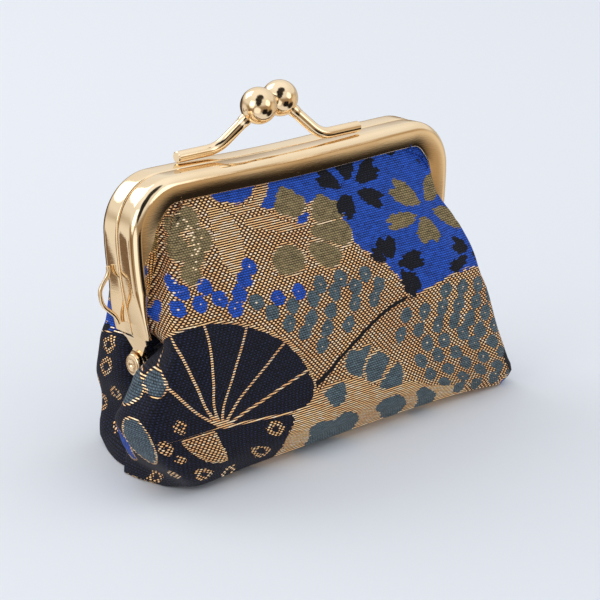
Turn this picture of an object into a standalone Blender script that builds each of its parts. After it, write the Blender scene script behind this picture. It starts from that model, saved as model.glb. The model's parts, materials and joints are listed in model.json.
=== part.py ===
"""Kiss-lock coin purse: two riveted channel frames that hold a lined brocade pouch.

The purse stands on its base at z = 0. X runs across the frame, -Y is the front, +Z is up.
Side -1 is the front half and side +1 the back half; each pair of pieces is one function called twice.
"""
import math

import bmesh
import bpy
import numpy as np
from mathutils import Matrix, Vector

MM = 0.001
FRONT = -1
BACK = 1

# Driving dimensions of the channel frames
FRAME_WIDTH = 80.0 * MM
FRAME_RISE = 35.3 * MM
RIVET_HEIGHT = 20.5 * MM
FRAME_CORNER = 10.1 * MM
TOP_DIP = 0.5 * MM
LEG_LEAN = 3.3 * MM
LEG_END_RISE = 5.9 * MM
RAIL_DEPTH = 5.2 * MM
SHEET = 0.5 * MM
EDGE_RADIUS = 1.9 * MM
FACE_TOP = 4.8 * MM
FACE_SHOULDER = 5.8 * MM
FACE_LEG_END = 0.8 * MM
BACK_WALL_TOP = 3.6 * MM
HALF_GAP = 0.15 * MM

# Driving dimensions of the hinges at the leg ends
EYE_RADIUS = 2.45 * MM
EYE_SHEET = 0.6 * MM
EYE_JOG = 0.9 * MM
RIVET_SHANK = 0.9 * MM
RIVET_HOLE_PLAY = 0.2 * MM
RIVET_HEAD = 2.1 * MM
RIVET_DOME = 0.7 * MM
RIVET_DIMPLE = 0.7 * MM
RIVET_INNER_HEAD = 1.6 * MM
RIVET_INNER_RISE = 0.6 * MM

# Driving dimensions of the kiss lock
BALL_DIAMETER = 7.0 * MM
BALL_PASSING_PLAY = 0.1 * MM
BALL_RISE = 8.8 * MM
BALL_CROSSING = 1.1 * MM
CLASP_OFFSET = -3.5 * MM
ROD_DIAMETER = 2.2 * MM
ROD_BEND = 10.6 * MM
ROD_END = 20.4 * MM
ROD_BEND_RADIUS = 2.4 * MM
ROD_IN_BALL = 1.6 * MM

# Driving dimensions of the chain loop on the left leg of the back frame
LOOP_HEIGHT = 8.6 * MM
LOOP_REACH = 3.2 * MM
LOOP_TOP = 17.6 * MM
LOOP_WIRE = 0.8 * MM
LOOP_CORNER = 1.2 * MM

# Driving dimensions of the cloth
PANEL_THICKNESS = 0.7 * MM
LINING_THICKNESS = 0.4 * MM
CLEARANCE = 0.3 * MM
SEAM_GAP = 0.15 * MM
CLOTH_EDGE_INSET = 2.1 * MM
CLOTH_LEG_INSET = 1.3 * MM
LIP_STANDOFF = 0.9 * MM
LINING_EASE = 0.8 * MM
CORNER_OVERHANG = 1.6 * MM
BASE_OVERHANG = 1.5 * MM
BASE_DEPTH = 17.0 * MM
BELLY_OVERHANG = 4.5 * MM
BELLY_DEPTH = 18.4 * MM
BELLY_HEIGHT = 8.0 * MM
SIDE_VALLEY = 6.0 * MM
CORNER_SOFTNESS = 5.0 * MM
FRONT_CROWN = 0.8 * MM
PAPER_CORD_DIAMETER = 1.75 * MM

# Mesh fineness
LEG_STATIONS = 8
CORNER_STATIONS = 7
TOP_STATIONS = 8
EDGE_COLUMNS = 2
SIDE_COLUMNS = 6
FACE_COLUMNS = 12
SPLINE_SAMPLES = 12
LIP_POINT_COUNT = 3
CORNER_POINT_COUNT = 6

# Colours, roughness and metallic value of the finishes
FINISHES = {
    "gold_plate": ((0.90, 0.70, 0.42), 0.12, 1.0),
    "brocade": ((0.05, 0.06, 0.14), 0.75, 0.0),
    "lining_cloth": ((0.03, 0.03, 0.04), 0.85, 0.0),
    "paper_cord": ((0.72, 0.62, 0.46), 0.90, 0.0),
}

FRAME_TOP = RIVET_HEIGHT + FRAME_RISE
CORNER_START = FRAME_TOP - FRAME_CORNER
EYE_X = FRAME_WIDTH / 2 - LEG_LEAN
BASE_HALF_WIDTH = FRAME_WIDTH / 2 + BASE_OVERHANG
BELLY_HALF_WIDTH = FRAME_WIDTH / 2 + BELLY_OVERHANG
CLOTH_SEAM_X = EYE_X - EYE_JOG - EYE_SHEET - RIVET_INNER_RISE - 2 * CLEARANCE - 0.4 * MM


def ramp(value, low, high):
    """Smooth step from 0 at low to 1 at high."""
    t = min(1.0, max(0.0, (value - low) / (high - low)))
    return t * t * (3.0 - 2.0 * t)


def blend(a, b, t):
    return a + (b - a) * t


def leg_at(share):
    """Height at a share of the leg, from the rivets to the start of the frame's corner."""
    return blend(RIVET_HEIGHT, CORNER_START, share)


def finish_object(name, mesh, finish):
    """Make the object for a finished mesh, shaded smooth with crisp folds."""
    colour, roughness, metallic = FINISHES[finish]
    material = bpy.data.materials.new(name + "_finish")
    material.use_nodes = True
    shader = material.node_tree.nodes["Principled BSDF"]
    shader.inputs["Base Color"].default_value = (*colour, 1.0)
    shader.inputs["Roughness"].default_value = roughness
    shader.inputs["Metallic"].default_value = metallic
    material.diffuse_color = (*colour, 1.0)
    mesh.materials.append(material)
    mesh.shade_smooth()
    mesh.set_sharp_from_angle(angle=math.radians(40))
    piece = bpy.data.objects.new(name, mesh)
    bpy.context.collection.objects.link(piece)
    return piece


def mesh_from(shape, name):
    bmesh.ops.recalc_face_normals(shape, faces=shape.faces)
    mesh = bpy.data.meshes.new(name)
    shape.to_mesh(mesh)
    shape.free()
    return mesh


def bend_grid(shape, columns, rows, place):
    """Add a grid to the bmesh and move each vertex to place(u, v), with u and v from 0 to 1."""
    made = bmesh.ops.create_grid(shape, x_segments=columns, y_segments=rows, size=0.5)
    for vertex in made["verts"]:
        u = round((vertex.co.x + 0.5) * columns) / columns
        v = round((vertex.co.y + 0.5) * rows) / rows
        vertex.co = place(u, v)


def section_loft(name, sections):
    """Closed solid through sections, each a loop of points in the same order, with flat end caps."""
    shape = bmesh.new()
    points = len(sections[0])

    def place(u, v):
        return sections[round(u * (len(sections) - 1))][round(v * points) % points]

    bend_grid(shape, len(sections) - 1, points, place)
    bmesh.ops.remove_doubles(shape, verts=shape.verts, dist=0.001 * MM)
    bmesh.ops.holes_fill(shape, edges=shape.edges, sides=0)
    return mesh_from(shape, name)


def boolean(piece, operation, tool):
    """Union with or cut by another object, kept in the scene as a hidden guide."""
    modifier = piece.modifiers.new(operation.title(), "BOOLEAN")
    modifier.operation = operation
    modifier.object = tool
    tool.parent = piece
    tool.hide_render = True
    tool.display_type = "WIRE"


def turned(name, profile, sides, finish, place):
    """Solid of revolution about local Z from (radius, height) points that start and end on the axis."""
    shape = bmesh.new()
    chain = [shape.verts.new((radius, 0.0, height)) for radius, height in profile]
    edges = [shape.edges.new(pair) for pair in zip(chain, chain[1:])]
    bmesh.ops.spin(shape, geom=chain + edges, cent=(0, 0, 0), axis=(0, 0, 1), angle=math.tau, steps=sides,
                   use_merge=True)
    bmesh.ops.remove_doubles(shape, verts=shape.verts, dist=0.001 * MM)
    mesh = mesh_from(shape, name)
    mesh.transform(place)
    return finish_object(name, mesh, finish)


# Outline of the frame in the plane of the joint between its halves


def leg_x(height):
    """Half-width of the frame at a height on its legs, which lean in towards the rivets."""
    lean_start = RIVET_HEIGHT + EYE_RADIUS
    share = min(1.0, max(0.0, (height - lean_start) / (CORNER_START - lean_start)))
    return EYE_X + LEG_LEAN * math.sin(0.5 * math.pi * share)


def half_outline():
    """Points from the left leg's end to the middle of the top, each with its inward direction."""
    stations = []
    leg_end = RIVET_HEIGHT + LEG_END_RISE
    for step in range(LEG_STATIONS):
        height = blend(leg_end, CORNER_START, step / LEG_STATIONS)
        slope = (leg_x(height + 0.1 * MM) - leg_x(height - 0.1 * MM)) / (0.2 * MM)
        stations.append((Vector((-leg_x(height), 0, height)), Vector((1, 0, slope)).normalized()))
    centre = Vector((FRAME_CORNER - FRAME_WIDTH / 2, 0, CORNER_START))
    for step in range(CORNER_STATIONS):
        turn = math.pi - 0.5 * math.pi * step / CORNER_STATIONS
        outward = Vector((math.cos(turn), 0, math.sin(turn)))
        stations.append((centre + outward * FRAME_CORNER, -outward))
    for step in range(TOP_STATIONS + 1):
        share = step / TOP_STATIONS
        x = centre.x * (1 - share)
        dip = TOP_DIP * 0.5 * (1 - math.cos(math.pi * share))
        stations.append((Vector((x, 0, FRAME_TOP - dip)), Vector((0, 0, -1))))
    return stations


def outline():
    """The whole arch, from the left leg's end over the top to the right leg's end."""
    left = half_outline()
    right = [(Vector((-p.x, 0, p.z)), Vector((-n.x, 0, n.z))) for p, n in reversed(left[:-1])]
    return left + right


def face_height(point):
    """How far the visible wall of the channel reaches in from the outline."""
    on_leg = ramp(point.z, leg_at(0.3), leg_at(0.97)) ** 1.25
    shoulder = blend(FACE_LEG_END, FACE_SHOULDER, on_leg)
    on_top = ramp(-abs(point.x), -FRAME_WIDTH / 2 + 2.0 * MM, -FRAME_WIDTH / 2 + FRAME_CORNER)
    return blend(shoulder, FACE_TOP, on_top)


def face_at(height):
    """Reach of the visible wall at the height of a row's ends."""
    if height <= CORNER_START:
        return face_height(Vector((-leg_x(height), 0, height)))
    return FACE_SHOULDER


def channel_section(point, inward, side):
    """Loop round the pressed sheet: back wall, web, rounded edge and front wall."""
    face = face_height(point)
    back = BACK_WALL_TOP * min(1.0, face / FACE_TOP)
    bend = min(EDGE_RADIUS, 0.75 * face)
    inner_bend = max(bend - SHEET, 0.1 * MM)
    outer = [(back, HALF_GAP), (0.35 * MM, HALF_GAP), (0.0, HALF_GAP + 0.35 * MM)]
    inner = [(back, HALF_GAP + SHEET), (SHEET, HALF_GAP + SHEET)]
    for step in range(4):
        turn = 0.5 * math.pi * step / 3
        lift = bend * (1 - math.cos(turn))
        outer.append((lift, RAIL_DEPTH - bend + bend * math.sin(turn)))
    for step in range(3):
        turn = 0.5 * math.pi * step / 2
        lift = SHEET + inner_bend * (1 - math.cos(turn))
        inner.append((min(lift, face - 0.1 * MM), RAIL_DEPTH - SHEET - inner_bend + inner_bend * math.sin(turn)))
    outer.append((face, RAIL_DEPTH))
    inner.append((face, RAIL_DEPTH - SHEET))
    return [point + inward * depth + Vector((0, side * y, 0)) for depth, y in outer + inner[::-1]]


def eye_plate(name, side, hand):
    """Flat leg end with a round eye; the back frame's eyes are set in so that the front's lie outside."""
    top = RIVET_HEIGHT + LEG_END_RISE + 2.4 * MM
    neck = RIVET_HEIGHT + LEG_END_RISE
    crossing = RIVET_HEIGHT + 0.72 * LEG_END_RISE
    jog = EYE_JOG if side == BACK else 0.0
    sections = []
    angles = [math.radians(angle) for angle in range(-75, 46, 20)]
    levels = [(RIVET_HEIGHT + EYE_RADIUS * math.sin(a), EYE_RADIUS * math.cos(a)) for a in angles]
    for height, half in levels:
        sections.append((height, -half, half))
    last, half = levels[-1]
    low, high = HALF_GAP + 0.2 * MM, RAIL_DEPTH - 1.1 * MM
    for step in range(1, 5):
        share = step / 4
        height = blend(last, crossing, share)
        sections.append((height, blend(-half, low, share), blend(half, high, 0.75 * share)))
    for height in (blend(crossing, neck, 0.5), neck, blend(neck, top, 0.4), top):
        sections.append((height, low, high))
    loops = []
    for height, low, high in sections:
        set_in = jog * (1 - ramp(height, crossing, neck + 0.6 * MM))
        outer_x = leg_x(height) - 0.04 * MM - set_in
        inner_x = outer_x - EYE_SHEET
        loops.append([Vector((hand * x, side * y, height))
                      for x, y in ((outer_x, low), (outer_x, high), (inner_x, high), (inner_x, low))])
    return bpy.data.objects.new(name, section_loft(name, loops))


def rivet_hole(name, hand):
    mesh = bpy.data.meshes.new(name)
    shape = bmesh.new()
    bmesh.ops.create_cone(shape, cap_ends=True, segments=16, radius1=RIVET_SHANK + RIVET_HOLE_PLAY,
                          radius2=RIVET_SHANK + RIVET_HOLE_PLAY, depth=8 * MM,
                          matrix=Matrix.Translation((hand * EYE_X, 0, RIVET_HEIGHT)) @ Matrix.Rotation(
                              math.radians(90), 4, "Y"))
    shape.to_mesh(mesh)
    shape.free()
    return bpy.data.objects.new(name, mesh)


def build_frame(name, side):
    """One half of the frame: the swept channel with a riveted eye at each leg end."""
    sections = [channel_section(point, inward, side) for point, inward in outline()]
    frame = finish_object(name, section_loft(name, sections), "gold_plate")
    for hand, word in ((-1, "left"), (1, "right")):
        plate = eye_plate(name + "_" + word + "_eye_guide", side, hand)
        hole = rivet_hole(name + "_" + word + "_hole_guide", hand)
        for guide in (plate, hole):
            bpy.context.collection.objects.link(guide)
        boolean(frame, "UNION", plate)
        boolean(frame, "DIFFERENCE", hole)
    return frame


def build_rivet(name, hand):
    """Dimpled head outside the two eyes, shank through them and a peened head inside."""
    outer_face = EYE_X + CLEARANCE
    inner_face = EYE_X - EYE_JOG - EYE_SHEET - CLEARANCE
    inner_end = inner_face - RIVET_INNER_RISE
    outer_end = outer_face + RIVET_DOME
    profile = [
        (0.0, inner_end),
        (RIVET_INNER_HEAD * 0.7, inner_end),
        (RIVET_INNER_HEAD, inner_face - 0.25 * MM),
        (RIVET_INNER_HEAD, inner_face),
        (RIVET_SHANK, inner_face),
        (RIVET_SHANK, outer_face),
        (RIVET_HEAD, outer_face),
        (RIVET_HEAD, outer_face + 0.3 * MM),
        (RIVET_HEAD * 0.86, outer_end - 0.25 * MM),
        (RIVET_HEAD * 0.58, outer_end),
        (RIVET_DIMPLE, outer_end - 0.1 * MM),
        (RIVET_DIMPLE * 0.5, outer_end - 0.45 * MM),
        (0.0, outer_end - 0.5 * MM),
    ]
    place = Matrix.Translation((0, 0, RIVET_HEIGHT)) @ Matrix.Rotation(hand * math.radians(90), 4, "Y")
    turned(name, profile, 12, "gold_plate", place)


# Kiss lock: the front frame carries the right-hand ball, which has crossed behind the left-hand one


def ball_centre(side):
    hand = 1 if side == FRONT else -1
    reach = BALL_DIAMETER / 2 + BALL_PASSING_PLAY / 2
    return Vector((CLASP_OFFSET + hand * reach, -side * BALL_CROSSING, FRAME_TOP + BALL_RISE))


def rod_points(side):
    """Centre line of a clasp rod: along the rail, up through a rounded bend and into the ball."""
    hand = 1 if side == FRONT else -1
    rail_y = side * RAIL_DEPTH / 2
    seat = FRAME_TOP + ROD_DIAMETER / 2 + 0.05 * MM
    ball = ball_centre(side)
    bend = Vector((CLASP_OFFSET + hand * ROD_BEND, rail_y, seat))
    end = Vector((CLASP_OFFSET + hand * ROD_END, rail_y, seat))
    rise = (ball - bend).normalized()
    tip = ball - rise * (BALL_DIAMETER / 2 - ROD_IN_BALL)
    along = Vector((hand, 0, 0))
    start = bend + along * ROD_BEND_RADIUS
    leave = bend + rise * ROD_BEND_RADIUS
    curve = []
    for step in range(6):
        t = step / 5
        curve.append(start * (1 - t) ** 2 + bend * 2 * t * (1 - t) + leave * t * t)
    return [end] + curve + [tip], rise


def tube(name, points, diameter, resolution, finish, closed=False):
    """Round wire or cord along points, as a curve with a round bevel and filled ends."""
    curve = bpy.data.curves.new(name, "CURVE")
    curve.dimensions = "3D"
    curve.bevel_depth = diameter / 2
    curve.bevel_resolution = resolution
    curve.use_fill_caps = True
    spline = curve.splines.new("POLY")
    spline.points.add(len(points) - 1)
    spline.use_cyclic_u = closed
    for point, place in zip(spline.points, points):
        point.co = (*place, 1.0)
    source = bpy.data.objects.new(name + "_path", curve)
    mesh = bpy.data.meshes.new_from_object(source)
    bpy.data.objects.remove(source)
    return finish_object(name, mesh, finish)


def build_clasp(side, arm_name, ball_name):
    points, rise = rod_points(side)
    arm = tube(arm_name, points, ROD_DIAMETER, 3, "gold_plate")
    shape = bmesh.new()
    bmesh.ops.create_uvsphere(shape, u_segments=20, v_segments=12, radius=BALL_DIAMETER / 2)
    bmesh.ops.transform(shape, verts=shape.verts, matrix=Matrix.Translation(ball_centre(side)))
    ball = finish_object(ball_name, mesh_from(shape, ball_name), "gold_plate")
    socket = bpy.data.meshes.new(ball_name + "_socket_guide")
    shape = bmesh.new()
    depth = 2 * (ROD_IN_BALL + CLEARANCE)
    mouth = ball_centre(side) - rise * BALL_DIAMETER / 2
    turn = rise.to_track_quat("Z", "Y").to_matrix().to_4x4()
    radius = ROD_DIAMETER / 2 + 0.2 * MM
    bmesh.ops.create_cone(shape, cap_ends=True, segments=14, radius1=radius, radius2=radius, depth=depth,
                          matrix=Matrix.Translation(mouth) @ turn)
    shape.to_mesh(socket)
    shape.free()
    cutter = bpy.data.objects.new(ball_name + "_socket_guide", socket)
    bpy.context.collection.objects.link(cutter)
    boolean(ball, "DIFFERENCE", cutter)
    return arm, ball


def build_chain_loop(name):
    """Wire bow soldered to the outside of the back frame's left leg, for a chain."""
    top = RIVET_HEIGHT + LOOP_TOP
    bottom = top - LOOP_HEIGHT
    y = RAIL_DEPTH / 2
    seat = CLEARANCE * 0.5 + LOOP_WIRE / 2

    def at(height, reach):
        return Vector((-leg_x(height) - reach, y, height))

    corners = [at(top, seat), at(top - 0.32 * LOOP_HEIGHT, LOOP_REACH), at(bottom + 0.34 * LOOP_HEIGHT, LOOP_REACH),
               at(bottom, seat)]
    points = [corners[0] + Vector((0, 0, 1.4 * MM)), corners[0]]
    for before, corner, after in zip(corners, corners[1:], corners[2:]):
        enter = corner + (before - corner).normalized() * LOOP_CORNER
        leave = corner + (after - corner).normalized() * LOOP_CORNER
        points += [enter, (enter + 2 * corner + leave) / 4, leave]
    points += [corners[-1], corners[-1] - Vector((0, 0, 1.4 * MM))]
    points[0].x = -leg_x(points[0].z) - seat
    points[-1].x = -leg_x(points[-1].z) - seat
    return tube(name, points, LOOP_WIRE, 2, "gold_plate")


# Cloth: each panel is a loft whose rows run from side to side and follow the frame above the rivets


def smooth_table(table, height):
    """Value at a height from a table of (height, value), by a monotone cubic."""
    heights = [row[0] for row in table]
    values = [row[1] for row in table]
    if height <= heights[0]:
        return values[0]
    if height >= heights[-1]:
        return values[-1]
    spans = [b - a for a, b in zip(heights, heights[1:])]
    rates = [(b - a) / span for a, b, span in zip(values, values[1:], spans)]
    slopes = [rates[0]]
    for before, after in zip(rates, rates[1:]):
        slopes.append(0.0 if before * after <= 0 else 2 * before * after / (before + after))
    slopes.append(rates[-1])
    i = max(k for k, low in enumerate(heights) if low <= height)
    i = min(i, len(spans) - 1)
    t = (height - heights[i]) / spans[i]
    return ((2 * t ** 3 - 3 * t ** 2 + 1) * values[i] + (t ** 3 - 2 * t ** 2 + t) * spans[i] * slopes[i]
            + (3 * t ** 2 - 2 * t ** 3) * values[i + 1] + (t ** 3 - t ** 2) * spans[i] * slopes[i + 1])


LIP_HEIGHT = FRAME_TOP - FACE_TOP
CLOTH_TOP = FRAME_TOP - TOP_DIP - CLOTH_EDGE_INSET
CHANNEL_Y = RAIL_DEPTH - SHEET - CLEARANCE

DEPTH_BY_HEIGHT = [
    (0.0, BASE_DEPTH),
    (0.4 * BELLY_HEIGHT, blend(BASE_DEPTH, BELLY_DEPTH, 0.75)),
    (BELLY_HEIGHT, BELLY_DEPTH),
    (blend(BELLY_HEIGHT, LIP_HEIGHT, 0.25), blend(BELLY_DEPTH, CHANNEL_Y, 0.13)),
    (blend(BELLY_HEIGHT, LIP_HEIGHT, 0.5), blend(BELLY_DEPTH, CHANNEL_Y, 0.36)),
    (blend(BELLY_HEIGHT, LIP_HEIGHT, 0.75), blend(BELLY_DEPTH, CHANNEL_Y, 0.66)),
    (blend(BELLY_HEIGHT, LIP_HEIGHT, 0.93), blend(BELLY_DEPTH, CHANNEL_Y, 0.92)),
    (LIP_HEIGHT - 0.5 * MM, CHANNEL_Y),
]
CORNER_BY_HEIGHT = [
    (0.0, BASE_HALF_WIDTH),
    (0.5 * BELLY_HEIGHT, blend(BASE_HALF_WIDTH, BELLY_HALF_WIDTH, 0.6)),
    (1.4 * BELLY_HEIGHT, blend(BASE_HALF_WIDTH, BELLY_HALF_WIDTH, 0.8)),
    (RIVET_HEIGHT, EYE_X + 4.8 * MM),
    (leg_at(0.36), EYE_X + 2.2 * MM),
    (leg_at(0.71), EYE_X - 0.6 * MM),
    (CORNER_START, EYE_X - 2.2 * MM),
    (LIP_HEIGHT, FRAME_WIDTH / 2 - FRAME_CORNER + 1.0 * MM),
    (CLOTH_TOP, FRAME_WIDTH / 2 - FRAME_CORNER - 2.0 * MM),
]


def arch_lift(height):
    """Rows near the top rise by the dip of the rail towards its corners."""
    return TOP_DIP * ramp(height, CORNER_START, CLOTH_TOP)


def arch_half_width(height, inset):
    """Half-width of the frame's outline, drawn in by an inset, at the height of a row's ends."""
    height += arch_lift(height)
    if height <= CORNER_START:
        return leg_x(height) - inset
    radius = FRAME_CORNER - inset
    rise = min(height - CORNER_START, radius)
    return FRAME_WIDTH / 2 - FRAME_CORNER + math.sqrt(max(radius ** 2 - rise ** 2, 0.0))


def cloth_edge(height):
    """Where a row ends: at the side seam below the rivets, in the channel above them."""
    inset = blend(CLOTH_LEG_INSET, CLOTH_EDGE_INSET, ramp(height, leg_at(0.36), leg_at(0.71)))
    valley = SIDE_VALLEY * ramp(height, 0.0, 0.75 * RIVET_HEIGHT)
    corner = smooth_table(CORNER_BY_HEIGHT, min(height, RIVET_HEIGHT))
    seam_x = min(corner - valley, blend(BASE_HALF_WIDTH, CLOTH_SEAM_X, ramp(height, 0, 0.85 * RIVET_HEIGHT)))
    outward = ramp(height, RIVET_HEIGHT + 3.5 * MM, RIVET_HEIGHT + 8 * MM)
    forward = ramp(height, RIVET_HEIGHT + 0.5 * MM, RIVET_HEIGHT + 5 * MM)
    return blend(seam_x, arch_half_width(height, inset), outward), blend(SEAM_GAP, CHANNEL_Y, forward)


def row_controls(height, ease):
    """Control points (x, y) of the left half of a row, from its end to the middle of the face.

    The lining hangs easier than the panel: its free parts are drawn in by the ease.
    """
    depth = max(smooth_table(DEPTH_BY_HEIGHT, height) - ease, CHANNEL_Y)
    corner = smooth_table(CORNER_BY_HEIGHT, height) - ease
    edge_x, edge_y = cloth_edge(height)
    soft = min(CORNER_SOFTNESS, 0.45 * (depth - edge_y) + 0.02 * MM)
    crown = FRONT_CROWN * ramp(height, 0.0, BELLY_HEIGHT) * (1 - ramp(height, CORNER_START, LIP_HEIGHT - 1 * MM))

    # Round the eyes the cloth stands off; lower down it turns straight out into the side lobes
    eye_room = ramp(height, RIVET_HEIGHT - 7 * MM, RIVET_HEIGHT - 3 * MM)
    clear_y = EYE_RADIUS + 1.2 * MM
    lobe = max(corner, edge_x) + 0.8 * MM * ramp(height, 0.5 * MM, BELLY_HEIGHT)
    seam_side = [
        (blend(blend(edge_x, lobe, 0.35), edge_x - 0.2 * MM, eye_room), blend(0.4 * MM, 1.6 * MM, eye_room)),
        (blend(0.5 * (edge_x + lobe), edge_x + 0.3 * MM, eye_room), blend(1.35 * MM, clear_y, eye_room)),
        (lobe, blend(1.35 * MM + 0.22 * depth, clear_y + 2.0 * MM, eye_room)),
    ]

    # Above them it lies in the channel as far as the lip and comes forward just inside it
    lip_x = min(arch_half_width(height, face_at(height)), edge_x)
    in_rail = ramp(height, leg_at(0.24), leg_at(0.6))
    fold_x = lip_x - blend(0.2 * MM, LIP_STANDOFF, in_rail) - ease * in_rail
    channel_side = [
        (blend(edge_x, lip_x, 0.5), edge_y + 0.5 * MM * (1 - in_rail)),
        (fold_x, edge_y + 1.0 * MM * (1 - in_rail)),
        (fold_x - 0.1 * MM, min(depth, RAIL_DEPTH + LIP_STANDOFF)),
    ]
    above = ramp(height, RIVET_HEIGHT + 1 * MM, RIVET_HEIGHT + LEG_END_RISE)
    side = [(blend(p[0], q[0], above), blend(p[1], q[1], above)) for p, q in zip(seam_side, channel_side)]
    overhang = CORNER_OVERHANG * (1 - ramp(height, leg_at(0.6), leg_at(0.87)))
    inner_corner = min(corner, fold_x + overhang) if height > leg_at(0.6) else corner
    return [(edge_x, edge_y)] + side + [
        (blend(side[-1][0], inner_corner, 0.7), max(depth - soft, side[-1][1])),
        (inner_corner, depth),
        (inner_corner - soft, depth),
        (0.5 * inner_corner, depth + 0.6 * crown),
        (0.2 * inner_corner, depth + crown),
    ]


def spline_points(controls):
    """Clamped uniform cubic spline through a control polygon, sampled finely."""
    padded = [controls[0]] * 2 + list(controls) + [controls[-1]] * 2
    samples = []
    for a, b, c, d in zip(padded, padded[1:], padded[2:], padded[3:]):
        for step in range(SPLINE_SAMPLES):
            t = step / SPLINE_SAMPLES
            weights = ((1 - t) ** 3 / 6, (3 * t ** 3 - 6 * t ** 2 + 4) / 6,
                       (-3 * t ** 3 + 3 * t ** 2 + 3 * t + 1) / 6, t ** 3 / 6)
            samples.append([sum(w * p[k] for w, p in zip(weights, (a, b, c, d))) for k in (0, 1)])
    samples.append(list(controls[-1]))
    return np.array(samples)


def even_points(samples, count):
    """The given number of points, evenly spaced along a sampled curve."""
    steps = np.concatenate([[0], np.cumsum(np.linalg.norm(np.diff(samples, axis=0), axis=1))])
    wanted = np.linspace(0, steps[-1], count)
    return np.column_stack([np.interp(wanted, steps, samples[:, k]) for k in (0, 1)])


def drawn_in(points, inset):
    """A row moved squarely towards the inside of the pouch."""
    if not inset:
        return points
    legs = np.diff(points, axis=0)
    legs /= np.linalg.norm(legs, axis=1, keepdims=True)
    before = np.vstack([legs[:1], legs])
    after = np.vstack([legs, legs[-1:]])
    mean = before + after
    mean /= np.linalg.norm(mean, axis=1, keepdims=True)
    mitre = 1 / np.maximum((mean * before).sum(axis=1, keepdims=True), 0.75)
    return points + np.column_stack([mean[:, 1], -mean[:, 0]]) * mitre * inset


def row_points(height, inset, ease):
    """A whole row of the front panel as (x, depth) points: channel or seam, side, face and back again."""
    left = [(-x, y) for x, y in row_controls(height, ease)]
    right = [(-x, y) for x, y in left[::-1]]
    samples = spline_points(left + right)
    fold = LIP_POINT_COUNT * SPLINE_SAMPLES
    corner = CORNER_POINT_COUNT * SPLINE_SAMPLES
    end = even_points(samples[: fold + 1], EDGE_COLUMNS + 1)
    side = even_points(samples[fold: corner + 1], SIDE_COLUMNS - EDGE_COLUMNS + 1)
    face = even_points(samples[corner: len(samples) - corner], FACE_COLUMNS + 1)
    near = np.vstack([end, side[1:]])
    far = near[::-1] * np.array([-1, 1])
    return drawn_in(np.vstack([near, face[1:], far[1:]]), inset)


def row_heights():
    """Rows are closer together at the base corner and under the rail."""
    lower = [RIVET_HEIGHT * k for k in (0.0, 0.05, 0.14, 0.3, 0.5, 0.7, 0.86, 1.0)]
    upper = [blend(RIVET_HEIGHT, LIP_HEIGHT - 0.5 * MM, k) for k in (0.12, 0.24, 0.38, 0.54, 0.7, 0.85, 0.94, 1.0)]
    return lower + upper + [blend(LIP_HEIGHT, CLOTH_TOP, 0.4), CLOTH_TOP]


def add_skin(shape, side, inset, ease):
    """Add one skin of a cloth: the wall from base to rail, and the base from its edge to the middle seam."""
    lift_off = inset + ease
    heights = [height + lift_off * (1 - ramp(height, 0.0, 0.5 * RIVET_HEIGHT)) for height in row_heights()]
    rows = [row_points(height, inset, ease) for height in heights]
    columns = 2 * SIDE_COLUMNS + FACE_COLUMNS

    def wall(u, v):
        index = round(v * (len(rows) - 1))
        x, depth = rows[index][round(u * columns)]
        share = min(1.0, abs(x) / (FRAME_WIDTH / 2 - FRAME_CORNER))
        lift = 0.5 * (1 - math.cos(math.pi * share)) * arch_lift(heights[index])
        return Vector((x, side * depth, heights[index] + lift))

    edge = rows[0].copy()
    left = edge[: SIDE_COLUMNS + 1]
    right = edge[::-1][: SIDE_COLUMNS + 1]
    front = edge[SIDE_COLUMNS: SIDE_COLUMNS + FACE_COLUMNS + 1]

    def base(u, v):
        p, q = left[round(v * SIDE_COLUMNS)], right[round(v * SIDE_COLUMNS)]
        f = front[round(u * FACE_COLUMNS)]
        seam = left[0] * (1 - u) + right[0] * u
        corners = seam * (1 - v) + (left[-1] * (1 - u) + right[-1] * u) * v
        x, depth = p * (1 - u) + q * u + seam * (1 - v) + f * v - corners
        return Vector((x, side * depth, heights[0]))

    bend_grid(shape, columns, len(rows) - 1, wall)
    bend_grid(shape, FACE_COLUMNS, SIDE_COLUMNS, base)


def build_sheet(name, side, inset, thickness, ease, finish):
    """A cloth whose outer skin lies inset inside the panel's, closed by a strip along its edges."""
    shape = bmesh.new()
    add_skin(shape, side, inset, ease)
    add_skin(shape, side, inset + thickness, ease)
    bmesh.ops.remove_doubles(shape, verts=shape.verts, dist=0.005 * MM)
    bmesh.ops.bridge_loops(shape, edges=[edge for edge in shape.edges if edge.is_boundary])
    finish_object(name, mesh_from(shape, name), finish)


def build_paper_cord(name, side):
    """Twisted paper cord that wedges the cloth against the channel's visible wall."""
    radius = PAPER_CORD_DIAMETER / 2
    y = side * (HALF_GAP + SHEET + CLEARANCE + radius)
    seat = SHEET + CLEARANCE + radius
    points = []
    for point, inward in outline():
        if face_height(point) > 2 * MM:
            points.append(point + inward * seat + Vector((0, y, 0)))
    return tube(name, points, PAPER_CORD_DIAMETER, 1, "paper_cord")


def hang_on_rivets(name, pieces):
    """Parent the pieces that swing together to an empty on the axis through both rivets."""
    pivot = bpy.data.objects.new(name, None)
    pivot.location = (0, 0, RIVET_HEIGHT)
    bpy.context.collection.objects.link(pivot)
    for piece in pieces:
        piece.parent = pivot
        piece.matrix_parent_inverse = Matrix.Translation((0, 0, -RIVET_HEIGHT))


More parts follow.
